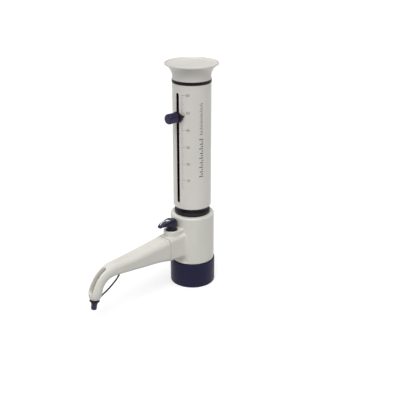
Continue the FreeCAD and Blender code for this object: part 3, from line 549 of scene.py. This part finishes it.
def make_housing():
    low, high = box_mm("valve_housing")
    housing = moulded("valve_housing_shell", housing_field, low - GRID_MARGIN, high + GRID_MARGIN, 0.62,
                      BODY, "base")
    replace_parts(housing, "valve_housing")


# --- discharge arm ------------------------------------------------------------------------

BEND_OUT, BEND_UP, BEND_RADIUS = 122.6, 31.2, 26.2
BEND_TURN = math.asin(-PULL.z)
BEND_LENGTH = BEND_RADIUS * BEND_TURN
TIP_RUN = 6.2
ARM_END = BEND_OUT + BEND_LENGTH + TIP_RUN
ARM_STATIONS = (45.6, 56.0, 70.0, 83.4, 100.7, 116.0, 124.0, 133.0, 146.0, ARM_END - 3.4, ARM_END)
arm_height = curve_through((45.6, 56.0, 83.4, 100.7, 116.0, BEND_OUT),
                           (55.5, 56.2, 56.5, 56.8, 57.2, 57.4))
arm_half = curve_through(ARM_STATIONS, (11.5, 11.4, 11.1, 10.8, 10.0, 8.8, 8.2, 7.5, 7.1, 6.8, 5.2))
arm_rise = curve_through(ARM_STATIONS, (13.8, 12.2, 10.4, 9.0, 7.4, 6.8, 6.9, 7.1, 7.0, 6.8, 5.2))
arm_corner = curve_through((45.6, 83.4, 116.0, 133.0, 150.0), (0.46, 0.5, 0.64, 0.9, 0.98))
ARM_WALL = 1.9
SEAM_GAP = 0.15
HOLLOW_TO = 112
TUBE_WAY = 3.2
GROOVE_HALF = 3.0
GROOVE_FROM, GROOVE_TO = BEND_OUT + BEND_RADIUS * 0.32, BEND_OUT + BEND_RADIUS * 1.36


def arm_place(points):
    """Distance aside, distance along the arm's centreline, and distance outside it."""
    aside, out, height = parts_of(points)
    from_centre, above = out - BEND_OUT, height - BEND_UP
    radial = np.hypot(from_centre, above)
    angle = np.arctan2(from_centre, above)
    lead_out, lead_up = math.cos(BEND_TURN), math.sin(BEND_TURN)
    past = from_centre * lead_out - above * lead_up
    beside = from_centre * lead_up + above * lead_out - BEND_RADIUS
    in_tip = (past > 0) & (beside > -BEND_RADIUS)
    in_bend = (from_centre > 0) & ~in_tip
    along = np.where(in_tip, BEND_OUT + BEND_LENGTH + past,
                     np.where(in_bend, BEND_OUT + BEND_RADIUS * angle, out))
    offset = np.where(in_tip, beside, np.where(in_bend, radial - BEND_RADIUS, height - arm_height(out)))
    return aside, along, offset


def arm_section(aside, along, offset, inset):
    half, rise = arm_half(along) - inset, arm_rise(along) - inset
    return rectangle(aside, offset, half, rise, arm_corner(along) * np.minimum(half, rise))


def arm_field(points):
    aside, along, offset = arm_place(points)
    solid = arm_section(aside, along, offset, 0)
    solid = meet(solid, SEAM + SEAM_GAP - along, 0.5)
    solid = meet(solid, along - ARM_END, 0.7)
    hollow = meet(arm_section(aside, along, offset, ARM_WALL), along - HOLLOW_TO, 2.0)
    way = np.hypot(aside, offset) - TUBE_WAY
    solid = carve(solid, join(hollow, way, 1.0), EDGE_ROUND)
    middle, half_length = (GROOVE_FROM + GROOVE_TO) / 2, (GROOVE_TO - GROOVE_FROM) / 2
    groove = rectangle(aside, along - middle, GROOVE_HALF, half_length, GROOVE_HALF - 0.1)
    return carve(solid, meet(groove, -offset, 0.3), 0.75)


def make_arm():
    low, high = box_mm("discharge_arm")
    arm = moulded("discharge_arm_shell", arm_field, low - GRID_MARGIN, high + GRID_MARGIN, 0.6,
                  BODY, "base")
    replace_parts(arm, "discharge_arm")


# --- lever --------------------------------------------------------------------------------

wing_half = curve_through((0, 6, 12, 17, 21.5), (6.3, 6.0, 5.2, 3.8, 1.6))
wing_top = curve_through((0, 5, 10, 15, 18.5, 21.5), (89.1, 89.0, 88.6, 87.5, 86.4, 85.2))
wing_low = curve_through((0, 6, 11, 16, 21.5), (79.5, 82.4, 84.3, 84.3, 83.2))
WING_ROUND, WING_FILLET = 1.9, 2.2
HUB_RADIUS, HUB_SWELL, HUB_DOME = 6.1, 0.75, 3.9
FOOT_RADIUS, FOOT_HEIGHT = 6.5, 1.4
SPINDLE_HOLE, SPINDLE_HOLE_TOP = 3.95, 83.0

# The white arrow on top, print and partly a painted highlight: distance aside and out from the hub's axis, then
# its widths along the way.
ARROW_TAIL, ARROW_BEND, ARROW_TIP = (-0.4, 17.6), (-6.2, 8.6), (2.6, 4.2)
ARROW_PLACES, ARROW_WIDTHS = [0, 0.15, 0.6, 0.72, 0.73, 1], [0.6, 1.2, 1.3, 1.3, 3.4, 0.2]
ARROW_LIFT = 0.06


def lever_field(points):
    aside, out, height = parts_of(points)
    reach = out - LEVER_OUT
    radial = np.hypot(aside, reach)
    hub_radius = HUB_RADIUS + HUB_SWELL * ease(height, 78.6, 82)
    hub = meet(meet(radial - hub_radius, height - LEVER_HIGH, HUB_DOME), HUB_LOW - height, 0.3)
    foot = meet(radial - FOOT_RADIUS, height - HUB_LOW - FOOT_HEIGHT, EDGE_ROUND)
    foot = meet(foot, HUB_LOW - height, 0.3)
    hub = join(hub, foot, 0.5)
    low, high = wing_low(reach), wing_top(reach)
    wing = rectangle(aside, height - (low + high) / 2, wing_half(reach), (high - low) / 2,
                     np.minimum(WING_ROUND, 0.45 * (high - low)))
    wing = meet(meet(wing, out - LEVER_TIP, WING_ROUND), 0.5 - reach, CRISP)
    bore = meet(radial - SPINDLE_HOLE, height - SPINDLE_HOLE_TOP, CRISP)
    return carve(join(hub, wing, WING_FILLET), bore, 0.2)


def top_of(field, aside, out, start, end):
    """Heights at which the field's top surface lies under points, by halving."""
    low, high = np.full_like(aside, start), np.full_like(aside, end)
    for _ in range(30):
        middle = (low + high) / 2
        inside = field(np.stack([aside, -out, middle], -1)) < 0
        low, high = np.where(inside, middle, low), np.where(inside, high, middle)
    return (low + high) / 2


def ribbon(centres, widths):
    """Points and faces of a flat ribbon through plan points, four faces across."""
    centres = np.array(centres, float)
    heading = np.gradient(centres, axis=0)
    heading /= np.linalg.norm(heading, axis=1)[:, None]
    across = np.stack([-heading[:, 1], heading[:, 0]], 1)
    shares = np.linspace(-0.5, 0.5, 5)
    offsets = shares[:, None] * np.array(widths)[:, None, None]
    points = (centres[:, None] + across[:, None] * offsets).reshape(-1, 2)
    faces = [
        (row * 5 + k, row * 5 + k + 1, row * 5 + k + 6, row * 5 + k + 5)
        for row in range(len(centres) - 1)
        for k in range(4)
    ]
    return points, faces


def make_lever():
    low, high = box_mm("valve_lever")
    lever = moulded("valve_lever_grip", lever_field, low - GRID_MARGIN, high + GRID_MARGIN, 0.34,
                    GLOSSY, "lever")
    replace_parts(lever, "valve_lever")
    share = np.linspace(0, 1, 24)[:, None]
    tail, bend, tip = np.array(ARROW_TAIL), np.array(ARROW_BEND), np.array(ARROW_TIP)
    route = (1 - share) ** 2 * tail + 2 * share * (1 - share) * bend + share ** 2 * tip
    widths = np.interp(share[:, 0], ARROW_PLACES, ARROW_WIDTHS)
    plan, faces = ribbon(route + np.array([0, LEVER_OUT]), widths)
    height = top_of(lever_field, plan[:, 0], plan[:, 1], 83.6, LEVER_HIGH + 0.4)
    points = np.stack([plan[:, 0], -plan[:, 1], height + ARROW_LIFT], 1)
    # The white arrow is print, and partly a painted highlight.
    new_piece("lever_print_and_painted_highlight", points, faces, WHITE_INK_AND_HIGHLIGHT, "lever")


# --- collar -------------------------------------------------------------------------------

THREAD_PITCH = 4.0
THREAD_TURNS = 2.4
THREAD_START = 2.4
THREAD_STEPS = 96        # in a turn
THREAD_FADE = 10         # steps over which the ridge grows at each end
THREAD_SUNK = 0.05       # how far a faded ridge's crest lies inside the wall
THREAD_SECTION = [(0.15, -1.3), (-0.75, -0.35), (-0.75, 0.35), (0.15, 1.3)]


def make_collar():
    outer, _, top = box_mm("threaded_collar")[1]
    bore, depth, relief, roof, neck = 22.75, 15.5, 22.2, 22.6, 17.05
    outline = rounded([
        (bore, 0, 0.4), (outer, 0, 1.3), (outer, top, 1.0), (neck, top, 0.3), (neck, roof, 0.3),
        (relief, roof), (relief, depth, 0.2), (bore, depth),
    ], 7)
    collar = lathed("threaded_collar_shell", outline, NAVY, "collar", around=192)
    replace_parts(collar, "threaded_collar")
    steps = int(THREAD_TURNS * THREAD_STEPS)
    points, faces = [], []
    for k in range(steps + 1):
        angle = 2 * math.pi * k / THREAD_STEPS
        fade = min(1.0, k / THREAD_FADE, (steps - k) / THREAD_FADE)
        for radial, up in THREAD_SECTION:
            radius = bore + (radial if radial > 0 else THREAD_SUNK + (radial - THREAD_SUNK) * fade)
            height = THREAD_START + THREAD_PITCH * k / THREAD_STEPS + up
            points.append((radius * math.cos(angle), radius * math.sin(angle), height))
    for k in range(steps):
        for corner in range(4):
            after = (corner + 1) % 4
            faces.append((k * 4 + corner, k * 4 + after, k * 4 + 4 + after, k * 4 + 4 + corner))
    faces += [(0, 1, 2, 3), tuple(steps * 4 + corner for corner in (3, 2, 1, 0))]
    new_piece("collar_thread", points, faces, NAVY, "collar")


# --- neck, band and top cap ---------------------------------------------------------------

def ring(name, node, inner, edges, material, body, slot):
    """A turned ring in a CAD node's place, with its outer edges rounded (lower, upper)."""
    low, high = box_mm(node)
    outline = rounded([
        (inner, low[2], 0.15), (high[0], low[2], edges[0]),
        (high[0], high[2], edges[1]), (inner, high[2], 0.15),
    ])
    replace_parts(lathed(name, outline, material, body, around=192), node)


def make_neck_and_band():
    # The neck ring gets black plastic painted lighter, as painted light.
    ring("neck_ring_nut", "neck_ring", GUIDE_RADIUS + 0.05, (0.3, 0.9), BLACK_PAINTED_LIT, "base", "black_plastic")
    ring("top_band_ring", "top_band", 20.65, (0.3, 0.3), BLACK, "plunger", "black_plastic")


def flare_points(start_radius, start_height, end_radius, end_height, bend, steps=18):
    """Points of a flare that leaves upright and curves out round a centre outside it."""
    centre = start_radius + bend
    reach = math.asin(min(1.0, (end_height - start_height) / bend))
    return [
        (centre - bend * math.cos(angle), start_height + bend * math.sin(angle))
        for angle in np.linspace(0, reach, steps)
        if centre - bend * math.cos(angle) < end_radius
    ]


def make_top_cap():
    rim_low = CAP_HIGH - 1.6
    waist, bead, bend = 21.85, 0.28, 15.9
    spigot, spigot_bore, spigot_low = 20.6, 18.4, 241.2
    boss, boss_top, stud, stud_top = 11.0, 262.4, 4.0, 256.0
    flare = flare_points(waist, CAP_LOW + 2.4, CAP_RADIUS - 0.9, rim_low, bend)
    # Spigot and bead, flare, rim and dish, then the stud's hole and boss underneath.
    outline = rounded([
        (spigot_bore, spigot_low), (spigot, spigot_low, 0.4), (spigot, CAP_LOW),
        (waist + bead, CAP_LOW, 0.3), (waist + bead, CAP_LOW + 1.5, 0.25), (waist, CAP_LOW + 1.7),
    ])
    outline += [np.array(point) for point in flare]
    outline += rounded([
        flare[-1], (CAP_RADIUS, rim_low, 0.5), (CAP_RADIUS, CAP_HIGH, 0.55),
        (CAP_RADIUS - 1.1, CAP_HIGH, 0.45), (CAP_RADIUS - 2.3, CAP_HIGH - 1.5, 1.6), (0, CAP_HIGH - 2.0),
    ], 6)[1:]
    outline += rounded([
        (0, stud_top), (stud, stud_top), (stud, spigot_low), (boss, spigot_low, 0.4),
        (boss, boss_top, 1.0), (spigot_bore, boss_top, 1.0), (spigot_bore, spigot_low + 1),
    ])[:-1]
    cap = lathed("top_cap_rest", outline, WHITE, "plunger", around=224)
    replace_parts(cap, "top_cap")


# --- knob, pointer, stopper ---------------------------------------------------------------

def make_knob():
    low, high = box_mm("volume_knob")
    radius, length = high[0], high[1] - low[1]
    stem_bore, stem_depth = 1.2, 7.8
    outline = rounded([
        (stem_bore, 0), (radius - 0.35, 0, 0.4), (radius - 0.1, length * 0.45), (radius, length, 2.3),
        (0, length),
    ], 8)
    outline += [(0, stem_depth), (stem_bore, stem_depth)]
    knob = lathed("volume_knob_grip", outline, INDIGO, "knob",
                  (0, high[1], SETTING_HEIGHT), (0, -1, 0), 96)
    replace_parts(knob, "volume_knob")


PLATE_INNER, PLATE_OUTER = 22.45, 24.5
PLATE_DISC = 6.3
PLATE_EDGE = 0.35
POINTER_REACH, POINTER_RISE = 10.4, 3.5
BEAK = [
    (0.5, 5.6), (0.5, -6.0), (4.8, -5.0), (7.4, -2.0), (POINTER_REACH, POINTER_RISE), (6.8, 2.9),
    (4.2, 4.0),
]
KEY_HALF_WIDTH, KEY_HALF_LENGTH, KEY_CORNER = 1.85, 5.4, 1.8
KEY_MIDDLE, KEY_HALF_DEPTH = 21.6, 1.6
STEM_HOLE = 1.25


def polygon_distance(across, up, corners):
    """Signed distance to a closed polygon."""
    nearest = np.full(across.shape, np.inf)
    inside = np.zeros(across.shape, bool)
    for (x0, y0), (x1, y1) in zip(corners, corners[1:] + corners[:1]):
        dx, dy = x1 - x0, y1 - y0
        share = np.clip(((across - x0) * dx + (up - y0) * dy) / (dx * dx + dy * dy), 0, 1)
        nearest = np.minimum(nearest, np.hypot(across - x0 - share * dx, up - y0 - share * dy))
        crosses = (y0 > up) != (y1 > up)
        at = x0 + (up - y0) * dx / np.where(dy == 0, 1, dy)
        inside ^= crosses & (across < at)
    return np.where(inside, -nearest, nearest)


def pointer_field(points):
    aside, out, height = parts_of(points)
    radial = np.hypot(aside, out)
    middle = (PLATE_INNER + PLATE_OUTER) / 2
    across = np.arctan2(aside, out) * middle
    up = height - SETTING_HEIGHT
    disc = np.hypot(across, up) - PLATE_DISC
    outline = join(disc, polygon_distance(across, up, BEAK), 1.4)
    through = abs(radial - middle) - (PLATE_OUTER - PLATE_INNER) / 2
    plate = extent(outline + PLATE_EDGE, through + PLATE_EDGE) - PLATE_EDGE
    key = rectangle(aside, up, KEY_HALF_WIDTH, KEY_HALF_LENGTH, KEY_CORNER)
    key = meet(key, abs(out - KEY_MIDDLE) - KEY_HALF_DEPTH, 0.15)
    stem = np.hypot(aside, up) - STEM_HOLE
    return carve(join(plate, key, 0.3), stem, CRISP)


def make_pointer():
    low, high = box_mm("volume_pointer")
    plate = moulded("volume_pointer_plate", pointer_field, low - 1, high + 1, 0.26, POINTER,
                    "volume_setter")
    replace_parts(plate, "volume_pointer")


TIP_AT = (0, -(BEND_OUT + BEND_RADIUS * math.sin(BEND_TURN) + TIP_RUN * math.cos(BEND_TURN)),
          BEND_UP + BEND_RADIUS * math.cos(BEND_TURN) - TIP_RUN * math.sin(BEND_TURN))


def make_stopper():
    bore, radius, low, length, depth = 2.65, 3.7, 1.0, 12.0, 10.0
    outline = rounded([
        (bore, low), (radius - 0.1, low, 0.2), (radius, 4.4), (radius, 5.0, 0.3), (radius - 0.35, 5.6),
        (radius - 0.5, length, 1.3), (0, length),
    ], 6)
    outline += [(0, depth), (bore, depth)]
    stopper = lathed("closure_cap_moulding", outline, INDIGO, "stopper", TIP_AT, PULL, 80)
    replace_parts(stopper, "closure_cap")
    ring_radius, ring_low, ring_high = 5.6, 0.5, 2.5
    outline = rounded([
        (radius, ring_low, 0.2), (ring_radius, ring_low, 0.75), (ring_radius, ring_high, 0.75),
        (radius, ring_high, 0.2),
    ], 6)
    tie = lathed("cap_ring_rubber", outline, BLACK, "stopper", TIP_AT, PULL, 96)
    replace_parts(tie, "cap_ring")
    return tie


# --- tether -------------------------------------------------------------------------------

# Route of the tether, the same points as in the design: distance out, height.
TETHER_ROUTE = [
    (112.6, 49.6),
    (115.6, 44.6),
    (122.0, 39.8),
    (131.0, 34.2),
    (139.3, 30.8),
    (143.6, 28.2),
]
TETHER_DIAMETER = 0.0018


def route_curve(name, bevel):
    curve = bpy.data.curves.new(name, "CURVE")
    curve.dimensions = "3D"
    spline = curve.splines.new("NURBS")
    spline.points.add(len(TETHER_ROUTE) - 1)
    for point, (out, height) in zip(spline.points, TETHER_ROUTE):
        point.co = (0, -out * MM, height * MM, 1)
    spline.order_u = 3
    spline.use_endpoint_u = True
    spline.resolution_u = 16
    curve.bevel_depth = bevel
    curve.bevel_resolution = 4
    curve.use_fill_caps = bevel > 0
    holder = bpy.data.objects.new(name, curve)
    bpy.context.scene.collection.objects.link(holder)
    bpy.context.view_layer.update()
    mesh = bpy.data.meshes.new_from_object(holder.evaluated_get(bpy.context.evaluated_depsgraph_get()))
    bpy.data.objects.remove(holder)
    return mesh


def make_tether(tie):
    line = route_curve("tether_line", 0)
    mesh = route_curve("tether_cord", TETHER_DIAMETER / 2)
    mesh.polygons.foreach_set("use_smooth", [True] * len(mesh.polygons))
    cord = bpy.data.objects.new("tether_cord", mesh)
    bpy.context.scene.collection.objects.link(cord)
    mesh.materials.clear()
    mesh.materials.append(RUBBER)
    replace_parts(cord, "tether")
    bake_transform(cord)


# --- scale and marks on the sleeve --------------------------------------------------------

INK_LIFT = 0.04
ZERO_HEIGHT = 116.04
RISE_PER_ML = 1.986
SCALE_FROM, SCALE_TO = 5, 60
SCALE_START = 5.0
TICK_LENGTHS = {10: 4.6, 5: 3.6, 1: 2.2}
TICK_THICKNESS = {10: 0.42, 5: 0.3, 1: 0.3}
STRIP_STEP = 1.2
NUMERAL_ARC = 13.0
NUMERAL_SIZE = 4.3
NUMERAL_WEIGHT = 0.04
SLOT_LOW, SLOT_HIGH, SLOT_WIDTH = 106.84, 236.84, 4.2


def wrapped(arcs, heights, radius):
    """Points on the sleeve: distance round it from the slot towards the scale, and height."""
    angles = np.asarray(arcs, float) / SLEEVE_RADIUS
    return np.stack([radius * np.sin(angles), -radius * np.cos(angles), np.asarray(heights, float)], -1)


def tick_strip(points, faces, arc, length, height, thickness):
    """Adds one printed line, in steps short enough to follow the sleeve."""
    steps = max(1, round(length / STRIP_STEP))
    start = sum(len(p) for p in points)
    arcs = np.linspace(arc, arc + length, steps + 1)
    points.append(wrapped(arcs, np.full(steps + 1, height - thickness / 2), SLEEVE_RADIUS + INK_LIFT))
    points.append(wrapped(arcs, np.full(steps + 1, height + thickness / 2), SLEEVE_RADIUS + INK_LIFT))
    above = start + steps + 1
    faces.extend((start + k, start + k + 1, above + k + 1, above + k) for k in range(steps))


def make_ticks():
    points, faces = [], []
    for ml in range(SCALE_FROM, SCALE_TO + 1):
        division = next(d for d in TICK_LENGTHS if ml % d == 0)
        tick_strip(points, faces, SCALE_START, TICK_LENGTHS[division], ZERO_HEIGHT + RISE_PER_ML * ml,
                   TICK_THICKNESS[division])
    new_piece("scale_ticks", np.concatenate(points), faces, INK, "plunger",
              recalculate=False)


def make_numerals():
    for ml in range(10, SCALE_TO + 1, 10):
        text = bpy.data.curves.new(f"numeral_{ml}", "FONT")
        text.body = str(ml)
        text.size = NUMERAL_SIZE
        text.align_x = "CENTER"
        text.align_y = "CENTER"
        text.offset = NUMERAL_WEIGHT
        holder = bpy.data.objects.new(text.name, text)
        bpy.context.scene.collection.objects.link(holder)
        bpy.context.view_layer.update()
        flat = bpy.data.meshes.new_from_object(holder.evaluated_get(bpy.context.evaluated_depsgraph_get()))
        bpy.data.objects.remove(holder)
        work = bmesh.new()
        work.from_mesh(flat)
        bmesh.ops.remove_doubles(work, verts=work.verts, dist=1e-4)
        bmesh.ops.triangulate(work, faces=work.faces)
        for _ in range(2):
            bmesh.ops.subdivide_edges(work, edges=work.edges, cuts=1)
            bmesh.ops.triangulate(work, faces=work.faces)
        work.to_mesh(flat)
        work.free()
        plan = np.array([vertex.co for vertex in flat.vertices])
        points = wrapped(plan[:, 0] + NUMERAL_ARC, plan[:, 1] + ZERO_HEIGHT + RISE_PER_ML * ml,
                         SLEEVE_RADIUS + INK_LIFT)
        new_piece(f"scale_numeral_{ml}", points, [tuple(p.vertices) for p in flat.polygons], INK, "plunger",
                  recalculate=False)


TRIM_OUT = 0.62          # from the slot's edge to the middle of its lip
TRIM_SECTION = [(-0.6, -0.1), (-0.55, 0.08), (-0.25, 0.2), (0.25, 0.2), (0.55, 0.06), (0.62, -0.1)]


def make_slot_trim():
    """A fine raised lip round the slot."""
    half = SLOT_WIDTH / 2 + TRIM_OUT
    turn = np.linspace(0, math.pi, 13)
    low, high = SLOT_LOW + SLOT_WIDTH / 2, SLOT_HIGH - SLOT_WIDTH / 2
    path = [(half * math.cos(a), high + half * math.sin(a), math.cos(a), math.sin(a)) for a in turn]
    path += [(-half, h, -1, 0) for h in np.linspace(high, low, 12)[1:-1]]
    path += [(-half * math.cos(a), low - half * math.sin(a), -math.cos(a), -math.sin(a)) for a in turn]
    path += [(half, h, 1, 0) for h in np.linspace(low, high, 12)[1:-1]]
    points = [
        wrapped(arc + shift * side, height + shift * rise, SLEEVE_RADIUS + lift)
        for arc, height, side, rise in path
        for shift, lift in TRIM_SECTION
    ]
    faces, count, width = [], len(path), len(TRIM_SECTION)
    for row in range(count):
        after = (row + 1) % count
        for k in range(width):
            beside = (k + 1) % width
            faces.append((row * width + k, row * width + beside, after * width + beside, after * width + k))
    new_piece("slot_trim", points, faces, WHITE, "plunger", sharp=50)


MARK_ARC = 28.3
MARK_RUNS = [(140.5, 186.0, 5.0, 1.15), (190.5, 226.5, 3.6, 0.7)]
MARK_LENGTHS = (1.0, 0.55, 0.8, 0.4)
MARK_SPACING = 2.4       # in bar thicknesses


def make_side_mark():
    """A plain pattern of bars where the maker's lettering would be: wide ones, then fine ones."""
    points, faces = [], []
    for low, high, length, thickness in MARK_RUNS:
        for number, height in enumerate(np.arange(low, high, thickness * MARK_SPACING)):
            reach = length * MARK_LENGTHS[number % len(MARK_LENGTHS)]
            tick_strip(points, faces, MARK_ARC + length / 2 - reach, reach, height, thickness)
    new_piece("sleeve_side_mark", np.concatenate(points), faces, STRIPE, "plunger",
              recalculate=False)


# --- carried-over CAD pieces --------------------------------------------------------------

FINE_EDGES = {"guide_tube": 0.25, "guide_bush": 0.2, "nozzle_tip": 0.2, "gland_nut": 0.3}


def finish_cad_nodes():
    """Every CAD piece that stays gets its slot's material, and the ones that show get softened edges."""
    slots = {part["node"]: part["material_slot"] for part in frame["record"]["subparts"]}
    for name, node in frame["nodes"].items():
        node.data.materials.clear()
        # The sleeve gets the white plastic with painted shade inside its wall.
        node.data.materials.append(WHITE_PAINTED_SHADE_INSIDE if name == "sleeve" else SLOT_FINISH[slots[name]])
        if name in FINE_EDGES:
            weld = node.modifiers.new("weld", "WELD")
            weld.merge_threshold = 0.00001
            bevel = node.modifiers.new("soft_edges", "BEVEL")
            bevel.width = FINE_EDGES[name] * MM
            bevel.segments = 3
            bevel.angle_limit = math.radians(40)
            bevel.harden_normals = True


# --- stage --------------------------------------------------------------------------------

def add_sun(name, towards, strength, angle):
    light = bpy.data.objects.new(name, bpy.data.lights.new(name, "SUN"))
    bpy.context.scene.collection.objects.link(light)
    light.data.energy = strength
    light.data.angle = math.radians(angle)
    light.rotation_euler = Vector(towards).to_track_quat("-Z", "Y").to_euler()


def add_floor():
    bpy.ops.mesh.primitive_plane_add(size=30)
    floor = bpy.context.object
    floor.name = "floor"
    floor.visible_diffuse = False
    made = Shader("pale_floor")
    made.put(made.mix(made.noise(0.8, 2.0), linear(182, 182, 182), linear(178, 178, 178)),
             made.main.inputs["Base Color"])
    made.main.inputs["Roughness"].default_value = 0.9
    made.main.inputs["Specular IOR Level"].default_value = 0.1
    made.main.inputs["Emission Color"].default_value = (1, 1, 1, 1)
    made.main.inputs["Emission Strength"].default_value = 0.62
    floor.data.materials.append(made.material)


def add_backdrop():
    """A plain white wall all round, far off, which gives and blocks no light."""
    bpy.ops.mesh.primitive_cylinder_add(vertices=96, radius=14, depth=28, end_fill_type="TRIFAN")
    wall = bpy.context.object
    wall.name = "backdrop"
    for ray in ("visible_diffuse", "visible_glossy", "visible_transmission", "visible_shadow"):
        setattr(wall, ray, False)
    made = Shader("white_backdrop")
    made.put(made.mix(made.noise(4.0, 1.0), linear(60, 60, 60), linear(62, 62, 62)),
             made.main.inputs["Base Color"])
    made.main.inputs["Emission Color"].default_value = (1, 1, 1, 1)
    made.main.inputs["Emission Strength"].default_value = 1.0
    wall.data.materials.append(made.material)


def add_light():
    world = bpy.data.worlds.new("studio")
    world.use_nodes = True
    world.node_tree.nodes["Background"].inputs["Color"].default_value = (1, 1, 1, 1)
    world.node_tree.nodes["Background"].inputs["Strength"].default_value = 0.45
    bpy.context.scene.world = world
    add_sun("key", (-0.64, 0.77, -1.6), 1.95, 40)
    add_sun("back", (0.8, -0.3, -0.9), 0.45, 50)
    bpy.context.scene.view_settings.view_transform = "Standard"


finish_cad_nodes()
make_housing()
make_arm()
make_lever()
make_collar()
make_neck_and_band()
make_top_cap()
make_knob()
make_pointer()
make_tether(make_stopper())
make_slot_trim()
make_ticks()
make_numerals()
make_side_mark()
add_floor()
add_backdrop()
add_light()
